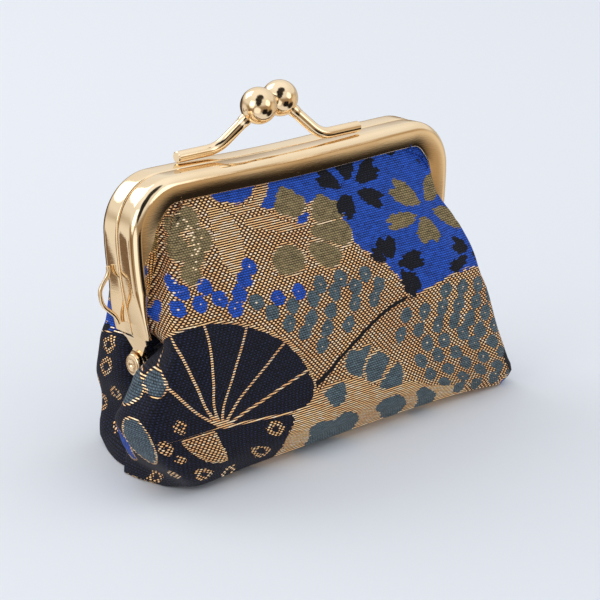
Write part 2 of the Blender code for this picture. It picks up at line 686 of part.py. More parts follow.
def build_purse():
    for piece in list(bpy.data.objects):
        bpy.data.objects.remove(piece, do_unlink=True)
    build_rivet("left_rivet", -1)
    build_rivet("right_rivet", 1)
    lining_inset = PANEL_THICKNESS + CLEARANCE
    for side, word in ((FRONT, "front"), (BACK, "back")):
        frame = build_frame(word + "_frame", side)
        arm, ball = build_clasp(side, word + "_clasp_arm", word + "_clasp_ball")
        paper_cord = build_paper_cord(word + "_paper_cord", side)
        jaw = [frame, arm, ball, paper_cord]
        if side == BACK:
            jaw.append(build_chain_loop("chain_loop"))
        hang_on_rivets(word + "_jaw_pivot", jaw)
        build_sheet("outer_" + word + "_panel", side, 0.0, PANEL_THICKNESS, 0.0, "brocade")
        build_sheet(word + "_lining_panel", side, lining_inset, LINING_THICKNESS, LINING_EASE, "lining_cloth")


build_purse()
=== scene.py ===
import json
import math

import bmesh
import bpy
import numpy as np
from mathutils import Matrix, Vector, noise


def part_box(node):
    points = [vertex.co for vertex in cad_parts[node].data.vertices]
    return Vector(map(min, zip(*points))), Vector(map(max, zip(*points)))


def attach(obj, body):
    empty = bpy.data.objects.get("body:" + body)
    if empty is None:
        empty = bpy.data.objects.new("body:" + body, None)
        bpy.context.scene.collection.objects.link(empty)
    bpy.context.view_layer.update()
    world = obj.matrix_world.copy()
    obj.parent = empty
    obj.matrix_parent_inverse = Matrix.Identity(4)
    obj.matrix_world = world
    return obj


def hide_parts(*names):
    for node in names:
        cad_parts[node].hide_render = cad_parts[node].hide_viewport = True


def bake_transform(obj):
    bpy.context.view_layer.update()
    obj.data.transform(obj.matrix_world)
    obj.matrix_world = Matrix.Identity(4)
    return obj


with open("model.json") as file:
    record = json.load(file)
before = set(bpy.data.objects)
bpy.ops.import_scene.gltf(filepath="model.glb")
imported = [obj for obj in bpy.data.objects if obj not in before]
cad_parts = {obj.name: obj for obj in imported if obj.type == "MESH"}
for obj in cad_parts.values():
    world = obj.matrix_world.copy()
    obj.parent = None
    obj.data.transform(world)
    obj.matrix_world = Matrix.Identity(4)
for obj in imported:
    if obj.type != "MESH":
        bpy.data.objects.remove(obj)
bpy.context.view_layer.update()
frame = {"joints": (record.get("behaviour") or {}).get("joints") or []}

bl_info = {
    "name": "Clasp purse",
    "version": (1, 0, 0),
    "blender": (4, 5, 0),
    "location": "View3D > Sidebar > Clasp purse",
    "description": "Dresses the frame of a kiss-lock coin purse in plated metal, brocade and lining",
    "category": "Add Mesh",
}

MM = 0.001
WELD = 0.0005 * MM
FRONT = -1
BACK = 1

# Places taken from the frame, in metres
FRAME_LOW, FRAME_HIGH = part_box("front_frame")
FRAME_TOP = FRAME_HIGH.z
RIVET_HEIGHT = frame["joints"][0]["pos_m"][2]
RAIL_DEPTH = -FRAME_LOW.y
FRAME_HALF_WIDTH = FRAME_HIGH.x

# The plated frame, as in the source of the solids
FRAME_CORNER = 10.1 * MM
TOP_DIP = 0.5 * MM
LEG_LEAN = 3.3 * MM
LEG_END_RISE = 5.9 * MM
SHEET = 0.5 * MM
EDGE_RADIUS = 1.9 * MM
FACE_TOP = 4.8 * MM
FACE_SHOULDER = 5.8 * MM
FACE_LEG_END = 0.8 * MM
BACK_WALL_TOP = 3.6 * MM
BACK_EDGE_RADIUS = 0.35 * MM
WEB_SAG = 0.10 * MM
FACE_CROWN = 0.065
HALF_GAP = 0.15 * MM
EYE_RADIUS = 2.45 * MM
EYE_SHEET = 0.6 * MM
EYE_JOG = 0.9 * MM
CLEARANCE = 0.3 * MM
RIVET_SHANK = 0.9 * MM
RIVET_HEAD = 2.1 * MM
RIVET_HEAD_EDGE = 0.3 * MM
RIVET_HEAD_DOME = 0.4 * MM
PEENED_HEAD = 1.6 * MM
PEENED_HEIGHT = 0.6 * MM
EYE_X = FRAME_HALF_WIDTH - LEG_LEAN
CORNER_START = FRAME_TOP - FRAME_CORNER
LIP_HEIGHT = FRAME_TOP - FACE_TOP

# The cloth, as in the source of the solids
CLOTH_EDGE_INSET = 2.1 * MM
CLOTH_LEG_INSET = 1.3 * MM
LIP_STANDOFF = 0.9 * MM
LINING_EASE = 0.8 * MM
SEAM_GAP = 0.15 * MM
PANEL_THICKNESS = 0.7 * MM
LINING_THICKNESS = 0.4 * MM
CORNER_SOFTNESS = 5.0 * MM
EDGE_LIFT = 1.9 * MM
CLOTH_TOP = FRAME_TOP - TOP_DIP - CLOTH_EDGE_INSET
CHANNEL_Y = RAIL_DEPTH - SHEET - CLEARANCE
CLOTH_SEAM_X = EYE_X - EYE_JOG - EYE_SHEET - 1.6 * MM


def ramp(value, low, high):
    """Smooth step from 0 at low to 1 at high, for a number or an array."""
    t = np.clip((value - low) / (high - low), 0.0, 1.0)
    return t * t * (3.0 - 2.0 * t)


def mix(a, b, t):
    """What lies a share t of the way from a to b."""
    return a + (b - a) * t


def smooth_table(table, height):
    """Value at a height from a table of (height, value), by a monotone cubic."""
    heights = [row[0] for row in table]
    values = [row[1] for row in table]
    if height <= heights[0]:
        return values[0]
    if height >= heights[-1]:
        return values[-1]
    spans = [b - a for a, b in zip(heights, heights[1:])]
    rates = [(b - a) / span for a, b, span in zip(values, values[1:], spans)]
    slopes = [rates[0]]
    for before, after in zip(rates, rates[1:]):
        slopes.append(0.0 if before * after <= 0 else 2 * before * after / (before + after))
    slopes.append(rates[-1])
    i = min(max(k for k, low in enumerate(heights) if low <= height), len(spans) - 1)
    t = (height - heights[i]) / spans[i]
    return ((2 * t ** 3 - 3 * t ** 2 + 1) * values[i] + (t ** 3 - 2 * t ** 2 + t) * spans[i] * slopes[i]
            + (3 * t ** 2 - 2 * t ** 3) * values[i + 1] + (t ** 3 - t ** 2) * spans[i] * slopes[i + 1])


# Mesh helpers


def grid_shape(points, place=None):
    """A bmesh grid whose vertex (i, j) stands at points[i, j]; place[i, j] goes to a vertex attribute."""
    shape = bmesh.new()
    columns, rows = points.shape[0] - 1, points.shape[1] - 1
    bmesh.ops.create_grid(shape, x_segments=columns, y_segments=rows, size=0.5)
    layer = shape.verts.layers.float_vector.new("cloth_place") if place is not None else None
    for vertex in shape.verts:
        i = round((vertex.co.x + 0.5) * columns)
        j = round((vertex.co.y + 0.5) * rows)
        vertex.co = points[i, j]
        if layer:
            vertex[layer] = place[i, j]
    return shape


def tube_shape(loops):
    """Closed tube from an array of loops of points, with a face over each end."""
    shape = grid_shape(np.concatenate([loops, loops[:, :1]], axis=1))
    bmesh.ops.remove_doubles(shape, verts=shape.verts, dist=WELD)
    bmesh.ops.holes_fill(shape, edges=shape.edges, sides=0)
    return shape


def join_shapes(shapes, name):
    """One mesh from several bmeshes that share their layers."""
    joined = bmesh.new()
    for shape in shapes:
        mesh = bpy.data.meshes.new(name + "_part")
        shape.to_mesh(mesh)
        shape.free()
        joined.from_mesh(mesh)
        bpy.data.meshes.remove(mesh)
    return joined


def finish_piece(name, shape, material, sharp=40.0):
    """Object at the origin from a bmesh, with its normals outwards and only its crisp edges sharp."""
    bmesh.ops.recalc_face_normals(shape, faces=shape.faces)
    mesh = bpy.data.meshes.new(name)
    shape.to_mesh(mesh)
    shape.free()
    mesh.materials.append(material)
    mesh.shade_smooth()
    mesh.set_sharp_from_angle(angle=math.radians(sharp))
    piece = bpy.data.objects.new(name, mesh)
    bpy.context.collection.objects.link(piece)
    return piece


def sweep(path, section):
    """Closed bmesh tube: section(index, share) gives the (n, 2) outline at each point of the path."""
    path = np.array(path, float)
    tangents = np.gradient(path, axis=0)
    tangents /= np.linalg.norm(tangents, axis=1, keepdims=True)
    across = np.cross(tangents[0], [0.0, 1.0, 0.0])
    if np.linalg.norm(across) < 0.1:
        across = np.cross(tangents[0], [0.0, 0.0, 1.0])
    loops = []
    for index, (point, tangent) in enumerate(zip(path, tangents)):
        across = across - tangent * (across @ tangent)
        across /= np.linalg.norm(across)
        up = np.cross(tangent, across)
        outline = section(index, index / (len(path) - 1))
        loops.append(point + outline[:, :1] * across + outline[:, 1:] * up)
    return tube_shape(np.array(loops))


def round_section(radii, sides):
    """Section function of a round bar whose radius is listed for each point of its path."""
    turns = np.linspace(0, math.tau, sides, endpoint=False)
    circle = np.column_stack([np.cos(turns), np.sin(turns)])
    return lambda index, share: circle * radii[index]


# The plated frame


def leg_x(height):
    """Half-width of the frame at a height on its legs, which lean in towards the rivets."""
    lean_start = RIVET_HEIGHT + EYE_RADIUS
    share = min(1.0, max(0.0, (height - lean_start) / (CORNER_START - lean_start)))
    return EYE_X + LEG_LEAN * math.sin(0.5 * math.pi * share)


def frame_outline(leg_steps, corner_steps, top_steps):
    """(point, inward) along the whole arch, from the left leg's end to the right leg's end."""
    stations = []
    leg_end = RIVET_HEIGHT + LEG_END_RISE
    for step in range(leg_steps):
        height = mix(leg_end, CORNER_START, step / leg_steps)
        slope = (leg_x(height + 0.1 * MM) - leg_x(height - 0.1 * MM)) / (0.2 * MM)
        stations.append((Vector((-leg_x(height), 0, height)), Vector((1, 0, slope)).normalized()))
    centre = Vector((FRAME_CORNER - FRAME_HALF_WIDTH, 0, CORNER_START))
    for step in range(corner_steps):
        turn = math.pi - 0.5 * math.pi * step / corner_steps
        outward = Vector((math.cos(turn), 0, math.sin(turn)))
        stations.append((centre + outward * FRAME_CORNER, -outward))
    for step in range(top_steps + 1):
        share = step / top_steps
        dip = TOP_DIP * 0.5 * (1 - math.cos(math.pi * share))
        stations.append((Vector((centre.x * (1 - share), 0, FRAME_TOP - dip)), Vector((0, 0, -1))))
    right = [(Vector((-p.x, 0, p.z)), Vector((-n.x, 0, n.z))) for p, n in reversed(stations[:-1])]
    return stations + right


def face_height(point):
    """How far the visible wall of the channel reaches in from the outline."""
    on_leg = ramp(point.z, RIVET_HEIGHT + 7.5 * MM, CORNER_START - 0.8 * MM) ** 1.25
    shoulder = mix(FACE_LEG_END, FACE_SHOULDER, on_leg)
    on_top = ramp(-abs(point.x), -FRAME_HALF_WIDTH + 2.0 * MM, -FRAME_HALF_WIDTH + FRAME_CORNER)
    return mix(shoulder, FACE_TOP, on_top)


def channel_section(point, inward, side):
    """Loop round the pressed sheet: back wall, web, rounded edge, softly crowned front wall, round lip."""
    face = face_height(point)
    back = BACK_WALL_TOP * min(1.0, face / FACE_TOP)
    bend = min(EDGE_RADIUS, 0.75 * face)
    inner_bend = max(bend - SHEET, 0.1 * MM)
    outer = [(back, HALF_GAP), (0.6 * MM, HALF_GAP)]
    for step in range(1, 6):
        turn = 0.5 * math.pi * step / 5
        lift = WEB_SAG + BACK_EDGE_RADIUS * (1 - math.sin(turn))
        outer.append((lift, HALF_GAP + BACK_EDGE_RADIUS * (1 - math.cos(turn))))
    web = RAIL_DEPTH - bend - HALF_GAP - BACK_EDGE_RADIUS
    for step in range(1, 6):
        share = step / 6
        outer.append((WEB_SAG * (1 - share) ** 2, HALF_GAP + BACK_EDGE_RADIUS + web * share))
    for step in range(15):
        turn = 0.5 * math.pi * step / 14
        outer.append((bend * (1 - math.cos(turn)), RAIL_DEPTH - bend + bend * math.sin(turn)))
    crown = FACE_CROWN * max(face - bend, 0.0)
    for step in range(1, 9):
        outer.append((mix(bend, face - SHEET / 2, step / 8), RAIL_DEPTH - crown * (step / 8) ** 2))
    lip_x, lip_y = face - SHEET / 2, RAIL_DEPTH - crown - SHEET / 2
    for step in range(1, 6):
        turn = math.pi * step / 6
        outer.append((lip_x + SHEET / 2 * math.sin(turn), lip_y + SHEET / 2 * math.cos(turn)))
    inner = [(back, HALF_GAP + SHEET), (SHEET, HALF_GAP + SHEET)]
    for step in range(8):
        turn = 0.5 * math.pi * step / 7
        lift = min(SHEET + inner_bend * (1 - math.cos(turn)), face - 0.3 * MM)
        inner.append((lift, RAIL_DEPTH - SHEET - inner_bend + inner_bend * math.sin(turn)))
    inner.append((face - SHEET / 2, RAIL_DEPTH - SHEET))
    return [point + inward * lift + Vector((0, side * y, 0)) for lift, y in outer + inner[::-1]]


def eye_shape(side, hand):
    """Flat leg end with a round eye; the back frame's eyes are set in so that the front's lie outside."""
    neck = RIVET_HEIGHT + LEG_END_RISE
    top = neck + 2.4 * MM
    crossing = RIVET_HEIGHT + 0.72 * LEG_END_RISE
    jog = EYE_JOG if side == BACK else 0.0
    levels = []
    for angle in np.linspace(-84, 45, 22):
        turn = math.radians(angle)
        half = EYE_RADIUS * math.cos(turn)
        levels.append((RIVET_HEIGHT + EYE_RADIUS * math.sin(turn), -half, half))
    last, _, half = levels[-1]
    low, high = HALF_GAP + 0.2 * MM, RAIL_DEPTH - 1.1 * MM
    for step in range(1, 13):
        share = step / 12
        levels.append((mix(last, crossing, share), mix(-half, low, share), mix(half, high, 0.75 * share)))
    for step in range(1, 11):
        levels.append((mix(crossing, top, step / 10), low, high))
    rim = 0.12 * MM
    loops = []
    for height, near, far in levels:
        set_in = jog * (1 - ramp(height, crossing, neck + 0.6 * MM))
        outer = leg_x(height) - 0.04 * MM - set_in
        inner = outer - EYE_SHEET
        rim_y = min(rim, 0.2 * (far - near))
        corners = [(outer - rim, near), (outer, near + rim_y), (outer, far - rim_y), (outer - rim, far),
                   (inner + rim, far), (inner, far - rim_y), (inner, near + rim_y), (inner + rim, near)]
        loops.append([(hand * x, side * y, height) for x, y in corners])
    shape = tube_shape(np.array(loops))
    bmesh.ops.recalc_face_normals(shape, faces=shape.faces)
    return shape


def combine(piece, operation, shape):
    """Union the piece with another closed bmesh, or cut it, and keep the result."""
    mesh = bpy.data.meshes.new("tool")
    shape.to_mesh(mesh)
    shape.free()
    tool = bpy.data.objects.new("tool", mesh)
    bpy.context.collection.objects.link(tool)
    modifier = piece.modifiers.new("Combine", "BOOLEAN")
    modifier.operation = operation
    modifier.object = tool
    graph = bpy.context.evaluated_depsgraph_get()
    result = bpy.data.meshes.new_from_object(piece.evaluated_get(graph))
    piece.modifiers.remove(modifier)
    piece.data = result
    bpy.data.objects.remove(tool)


def cutter(radius, length, sides, place):
    """Round bar that cuts a hole."""
    shape = bmesh.new()
    bmesh.ops.create_cone(shape, cap_ends=True, segments=sides, radius1=radius, radius2=radius, depth=length,
                          matrix=place)
    return shape


def build_channel(name, side, material):
    """Half of the frame: its channel swept along the arch, with a pierced eye at each leg's end."""
    sections = [channel_section(point, inward, side) for point, inward in frame_outline(40, 30, 30)]
    shape = tube_shape(np.array([[tuple(point) for point in section] for section in sections]))
    piece = finish_piece(name, shape, material)
    for hand in (-1, 1):
        combine(piece, "UNION", eye_shape(side, hand))
        turned = Matrix.Rotation(math.radians(90), 4, "Y")
        place = Matrix.Translation((hand * EYE_X, 0, RIVET_HEIGHT)) @ turned
        combine(piece, "DIFFERENCE", cutter(RIVET_SHANK + 0.2 * MM, 8 * MM, 40, place))
    piece.data.shade_smooth()
    piece.data.set_sharp_from_angle(angle=math.radians(32))
    return piece


def build_rivet(name, hand, material):
    """Spun rivet: dimpled head outside the eyes, shank through them, peened head inside."""
    outer_face = EYE_X + CLEARANCE
    inner_face = EYE_X - EYE_JOG - EYE_SHEET - CLEARANCE
    inner_end = inner_face - PEENED_HEIGHT
    outer_end = outer_face + RIVET_HEAD_EDGE + RIVET_HEAD_DOME
    profile = [(0.0, inner_end), (1.0 * MM, inner_end), (1.35 * MM, inner_end + 0.12 * MM),
               (PEENED_HEAD, inner_face - 0.2 * MM), (PEENED_HEAD, inner_face), (RIVET_SHANK, inner_face),
               (RIVET_SHANK, outer_face), (RIVET_HEAD, outer_face)]
    for step in range(11):
        turn = 0.5 * math.pi * step / 10
        rise = outer_face + RIVET_HEAD_EDGE + RIVET_HEAD_DOME * math.sin(turn)
        profile.append((RIVET_HEAD * (0.72 + 0.28 * math.cos(turn)), rise))
    for step in range(1, 9):
        share = step / 8
        dimple = RIVET_HEAD_DOME * ramp(share, 0.35, 0.85)
        profile.append((RIVET_HEAD * 0.72 * (1 - share), outer_end - dimple))
    shape = bmesh.new()
    chain = [shape.verts.new((radius, 0.0, height)) for radius, height in profile]
    edges = [shape.edges.new(pair) for pair in zip(chain, chain[1:])]
    bmesh.ops.spin(shape, geom=chain + edges, cent=(0, 0, 0), axis=(0, 0, 1), angle=math.tau, steps=56,
                   use_merge=True)
    bmesh.ops.remove_doubles(shape, verts=shape.verts, dist=0.001 * MM)
    place = Matrix.Translation((0, 0, RIVET_HEIGHT)) @ Matrix.Rotation(hand * math.radians(90), 4, "Y")
    bmesh.ops.transform(shape, verts=shape.verts, matrix=place)
    return finish_piece(name, shape, material)


# The kiss lock

BALL_RADIUS = 3.5 * MM
BALL_RISE = 8.8 * MM
BALL_CROSSING = 1.1 * MM
CLASP_OFFSET = -3.5 * MM
ROD_RADIUS = 1.1 * MM
ROD_BEND = 10.6 * MM
ROD_END = 20.4 * MM
ROD_BEND_RADIUS = 2.4 * MM
ROD_CHAMFER = 0.16 * MM
SOLDER = 0.05 * MM
COLLAR = 0.14 * MM
SOCKET_RADIUS = 1.32 * MM
SOCKET_DEPTH = 1.9 * MM


def ball_centre(side):
    """Where a ball sits: they touch side by side, and each crosses a little over to the other half."""
    from_middle = -side * (BALL_RADIUS + SOLDER)
    return Vector((CLASP_OFFSET + from_middle, -side * BALL_CROSSING, FRAME_TOP + BALL_RISE))


def build_clasp(side, arm_name, ball_name, material):
    """Round rod along the rail, bent up to its ball, which it enters by a short socket."""
    hand = -side
    seat = FRAME_TOP + ROD_RADIUS + SOLDER
    rail_y = side * RAIL_DEPTH / 2
    ball = ball_centre(side)
    bend = Vector((CLASP_OFFSET + hand * ROD_BEND, rail_y, seat))
    end = Vector((CLASP_OFFSET + hand * ROD_END, rail_y, seat))
    along = Vector((hand, 0, 0))
    rise = (ball - bend).normalized()
    tip = ball - rise * (BALL_RADIUS - 1.55 * MM)
    path = [end, end - along * ROD_CHAMFER]
    radii = [ROD_RADIUS - ROD_CHAMFER, ROD_RADIUS]
    start = bend + along * ROD_BEND_RADIUS
    leave = bend + rise * ROD_BEND_RADIUS
    for step in range(1, 12):
        path.append(mix(path[1], start, step / 12))
        radii.append(ROD_RADIUS)
    for step in range(17):
        t = step / 16
        path.append(start * (1 - t) ** 2 + bend * 2 * t * (1 - t) + leave * t * t)
        radii.append(ROD_RADIUS)
    for step in range(1, 25):
        share = step / 24
        path.append(mix(leave, tip, share))
        reach = (tip - path[-1]).length
        radii.append(ROD_RADIUS + COLLAR * float(ramp(-reach, -2.9 * MM, -2.0 * MM)))
    arm = finish_piece(arm_name, sweep(path, round_section(radii, 32)), material)
    shape = bmesh.new()
    bmesh.ops.create_uvsphere(shape, u_segments=72, v_segments=40, radius=BALL_RADIUS)
    bmesh.ops.transform(shape, verts=shape.verts, matrix=Matrix.Translation(ball))
    sphere = finish_piece(ball_name, shape, material)
    place = Matrix.Translation(ball - rise * BALL_RADIUS) @ rise.to_track_quat("Z", "Y").to_matrix().to_4x4()
    combine(sphere, "DIFFERENCE", cutter(SOCKET_RADIUS, 2 * SOCKET_DEPTH, 48, place))
    sphere.data.shade_smooth()
    sphere.data.set_sharp_from_angle(angle=math.radians(40))
    return arm, sphere


BOW_WIRE = 0.4 * MM
BOW_TOP = 17.6 * MM
BOW_HEIGHT = 8.6 * MM
BOW_REACH = 3.2 * MM
BOW_FOOT = 1.4 * MM
BOW_BEND = 1.2 * MM


def build_chain_bow(name, material):
    """Wire bow soldered to the outside of the back frame's left leg."""
    top = RIVET_HEIGHT + BOW_TOP
    bottom = top - BOW_HEIGHT
    seat = CLEARANCE * 0.5 + BOW_WIRE

    def at(z, out):
        return Vector((-leg_x(z) - out, RAIL_DEPTH / 2, z))

    corners = [at(top + BOW_FOOT, seat), at(top, seat), at(top - 0.32 * BOW_HEIGHT, BOW_REACH),
               at(bottom + 0.34 * BOW_HEIGHT, BOW_REACH), at(bottom, seat), at(bottom - BOW_FOOT, seat)]
    path = [corners[0]]
    for before, corner, after in zip(corners, corners[1:], corners[2:]):
        enter = corner + (before - corner).normalized() * BOW_BEND
        leave = corner + (after - corner).normalized() * BOW_BEND
        for step in range(9):
            t = step / 8
            path.append(enter * (1 - t) ** 2 + corner * 2 * t * (1 - t) + leave * t * t)
    path.append(corners[-1])
    return finish_piece(name, sweep(path, round_section([BOW_WIRE] * len(path), 16)), material)


# Cloth: rows run from side to side and follow the frame above the rivets

BASE_DEPTH = 17.0 * MM
BELLY_DEPTH = 18.4 * MM
BELLY_HEIGHT = 8.0 * MM
DEPTH_BY_HEIGHT = [(0.0, BASE_DEPTH), (3.2 * MM, 18.0 * MM), (BELLY_HEIGHT, BELLY_DEPTH)]
for rise, draw in ((0.25, 0.13), (0.5, 0.36), (0.75, 0.66), (0.93, 0.92)):
    DEPTH_BY_HEIGHT.append((mix(BELLY_HEIGHT, LIP_HEIGHT, rise), mix(BELLY_DEPTH, CHANNEL_Y, draw)))
DEPTH_BY_HEIGHT.append((LIP_HEIGHT - 0.5 * MM, CHANNEL_Y))
UNDER_RAIL = [
    (CORNER_START, EYE_X - 2.2 * MM),
    (LIP_HEIGHT, FRAME_HALF_WIDTH - FRAME_CORNER + 1.0 * MM),
    (CLOTH_TOP, FRAME_HALF_WIDTH - FRAME_CORNER - 2.0 * MM),
]


def up_to_rail(rows):
    """A table of (height, width) in millimetres, continued to the row in the channel."""
    return [(height * MM, width * MM) for height, width in rows] + UNDER_RAIL


# The filled pouch leans a little to its right: how far its corners stand out at each height
CORNER_BY_HEIGHT = {
    (FRONT, -1): up_to_rail([(0.0, 37.4), (4.0, 41.0), (9.0, 44.8), (15.0, 46.6), (20.5, 43.2), (29.5, 37.2),
                             (38.5, 35.6)]),
    (FRONT, 1): up_to_rail([(0.0, 45.6), (2.8, 47.7), (6.5, 45.6), (12.0, 43.3), (20.5, 41.9), (29.5, 40.2),
                            (34.0, 38.4), (38.5, 36.2)]),
    (BACK, -1): up_to_rail([(0.0, 34.6), (8.0, 33.0), (15.0, 34.8), (20.5, 34.6), (29.5, 33.4),
                            (38.5, 33.6)]),
    (BACK, 1): up_to_rail([(0.0, 48.0), (3.5, 48.6), (7.5, 46.2), (12.0, 43.6), (20.5, 41.1), (29.5, 38.9),
                           (38.5, 36.1)]),
}
SEAM_FOOT = {-1: 40.5 * MM, 1: 43.0 * MM}
SEAM_VALLEY = 6.0 * MM
SEAM_FLARE = 4.0 * MM
FACE_BULGE = 0.8 * MM
ROW_SAMPLES = 16
SKIN_WELD = 0.004 * MM
BASE_HOLLOW = 3.6
WIDE_RIPPLE = 90
SMALL_RIPPLE = 230
RIPPLE_HEIGHT = 0.22 * MM


def arch_lift(height):
    """Rows near the top rise by the dip of the rail towards its corners."""
    return TOP_DIP * float(ramp(height, CORNER_START, CLOTH_TOP))


def arch_half_width(height, inset):
    """Half-width of the frame's outline, drawn in by an inset, at the height of a row's ends."""
    height += arch_lift(height)
    if height <= CORNER_START:
        return leg_x(height) - inset
    radius = FRAME_CORNER - inset
    rise = min(height - CORNER_START, radius)
    return FRAME_HALF_WIDTH - FRAME_CORNER + math.sqrt(max(radius ** 2 - rise ** 2, 0.0))


def face_at(height):
    """How far the channel's visible wall reaches in at a height on the legs or the corner."""
    if height <= CORNER_START:
        return face_height(Vector((-leg_x(height), 0, height)))
    return FACE_SHOULDER


def row_end(height, side, hand):
    """Where a row ends: at the side seam below the rivets, in the channel above them."""
    rising = ramp(height, RIVET_HEIGHT + 9 * MM, RIVET_HEIGHT + 18 * MM)
    inset = mix(CLOTH_LEG_INSET, CLOTH_EDGE_INSET, rising)
    valley = SEAM_VALLEY * ramp(height, 0.0, 0.75 * RIVET_HEIGHT)
    corner = smooth_table(CORNER_BY_HEIGHT[side, hand], min(height, RIVET_HEIGHT))
    foot = mix(SEAM_FOOT[hand], CLOTH_SEAM_X, ramp(height, 0, 0.85 * RIVET_HEIGHT))
    seam_x = min(max(corner - valley, 0.0) + SEAM_FLARE * (1 - ramp(height, 0.0, 10 * MM)), foot)
    outward = ramp(height, RIVET_HEIGHT + 3.5 * MM, RIVET_HEIGHT + 8 * MM)
    forward = ramp(height, RIVET_HEIGHT + 0.5 * MM, RIVET_HEIGHT + 5 * MM)
    return mix(seam_x, arch_half_width(height, inset), outward), mix(SEAM_GAP, CHANNEL_Y, forward)


def row_controls(height, side, hand, ease):
    """Control points (x, depth) of one half of a row, from its end to the middle of the face."""
    depth = max(smooth_table(DEPTH_BY_HEIGHT, height) - ease, CHANNEL_Y)
    corner = smooth_table(CORNER_BY_HEIGHT[side, hand], height) - ease
    edge_x, edge_y = row_end(height, side, hand)
    soft = min(CORNER_SOFTNESS, 0.45 * (depth - edge_y) + 0.02 * MM)
    bulge = FACE_BULGE * ramp(height, 0.0, BELLY_HEIGHT)
    crown = bulge * (1 - ramp(height, CORNER_START, LIP_HEIGHT - 1 * MM))

    # Round the eyes the cloth stands off; lower down it turns straight out into the side lobes
    eye_room = ramp(height, RIVET_HEIGHT - 7 * MM, RIVET_HEIGHT - 3 * MM)
    clear_y = EYE_RADIUS + 1.2 * MM
    lobe = max(corner, edge_x) + 0.8 * MM * ramp(height, 0.5 * MM, 8 * MM)
    seam_side = [
        (mix(mix(edge_x, lobe, 0.35), edge_x - 0.2 * MM, eye_room), mix(0.4 * MM, 1.6 * MM, eye_room)),
        (mix(0.5 * (edge_x + lobe), edge_x + 0.3 * MM, eye_room), mix(1.35 * MM, clear_y, eye_room)),
        (lobe, mix(1.35 * MM + 0.22 * depth, clear_y + 2.0 * MM, eye_room)),
    ]

    # Above them it lies in the channel as far as the lip and comes forward just inside it
    lip_x = min(arch_half_width(height, face_at(height)), edge_x)
    in_rail = ramp(height, RIVET_HEIGHT + 6 * MM, RIVET_HEIGHT + 15 * MM)
    fold_x = lip_x - mix(0.2 * MM, LIP_STANDOFF, in_rail) - ease * in_rail
    channel_side = [
        (mix(edge_x, lip_x, 0.5), edge_y + 0.5 * MM * (1 - in_rail)),
        (fold_x, edge_y + 1.0 * MM * (1 - in_rail)),
        (fold_x - 0.1 * MM, min(depth, RAIL_DEPTH + LIP_STANDOFF)),
    ]
    above = ramp(height, RIVET_HEIGHT + 1 * MM, RIVET_HEIGHT + LEG_END_RISE)
    flank = [(mix(p[0], q[0], above), mix(p[1], q[1], above)) for p, q in zip(seam_side, channel_side)]
    overhang = 1.6 * MM * (1 - ramp(height, RIVET_HEIGHT + 15 * MM, RIVET_HEIGHT + 22 * MM))
    inner_corner = min(corner, fold_x + overhang) if height > RIVET_HEIGHT + 15 * MM else corner
    controls = [(edge_x, edge_y)] + flank + [
        (mix(flank[-1][0], inner_corner, 0.7), max(depth - soft, flank[-1][1])),
        (inner_corner, depth),
        (inner_corner - soft, depth),
        (0.5 * inner_corner, depth + 0.6 * crown),
        (0.2 * inner_corner, depth + crown),
    ]
    return [(hand * float(x), float(y)) for x, y in controls]


def spline_points(controls, samples):
    """Clamped uniform cubic spline through a control polygon, sampled finely."""
    padded = np.array([controls[0]] * 2 + list(controls) + [controls[-1]] * 2)
    t = (np.arange(samples) / samples)[:, None]
    weights = [(1 - t) ** 3 / 6, (3 * t ** 3 - 6 * t ** 2 + 4) / 6,
               (-3 * t ** 3 + 3 * t ** 2 + 3 * t + 1) / 6, t ** 3 / 6]
    runs = [sum(w * padded[k + n] for n, w in enumerate(weights)) for k in range(len(padded) - 3)]
    return np.vstack(runs + [padded[-1:]])


def even_points(samples, count):
    """The given number of points, evenly spaced along a sampled curve."""
    steps = np.concatenate([[0], np.cumsum(np.linalg.norm(np.diff(samples, axis=0), axis=1))])
    wanted = np.linspace(0, steps[-1], count)
    return np.column_stack([np.interp(wanted, steps, samples[:, k]) for k in (0, 1)])


def drawn_in(points, inset):
    """A row moved squarely towards the inside of the pouch."""
    legs = np.diff(points, axis=0)
    legs /= np.linalg.norm(legs, axis=1, keepdims=True).clip(1e-9)
    mean = np.vstack([legs[:1], legs]) + np.vstack([legs, legs[-1:]])
    mean /= np.linalg.norm(mean, axis=1, keepdims=True).clip(1e-9)
    mitre = 1 / np.maximum((mean * np.vstack([legs[:1], legs])).sum(axis=1, keepdims=True), 0.75)
    return points + np.column_stack([mean[:, 1], -mean[:, 0]]) * mitre * inset


def row_points(height, side, inset, ease, counts):
    """A whole row as (x, depth) points: channel or seam, flank, face, and back again."""
    edge_count, flank_count, face_count = counts
    controls = row_controls(height, side, -1, ease) + row_controls(height, side, 1, ease)[::-1]
    curve = spline_points(controls, ROW_SAMPLES)
    fold, corner = 3 * ROW_SAMPLES, 6 * ROW_SAMPLES
    last = len(curve) - 1
    spans = [(0, fold, edge_count), (fold, corner, flank_count), (corner, last - corner, face_count),
             (last - corner, last - fold, flank_count), (last - fold, last, edge_count)]
    points = [curve[:1]]
    for low, high, count in spans:
        points.append(even_points(curve[low: high + 1], count + 1)[1:])
    row = np.vstack(points)
    return drawn_in(row, inset) if inset else row


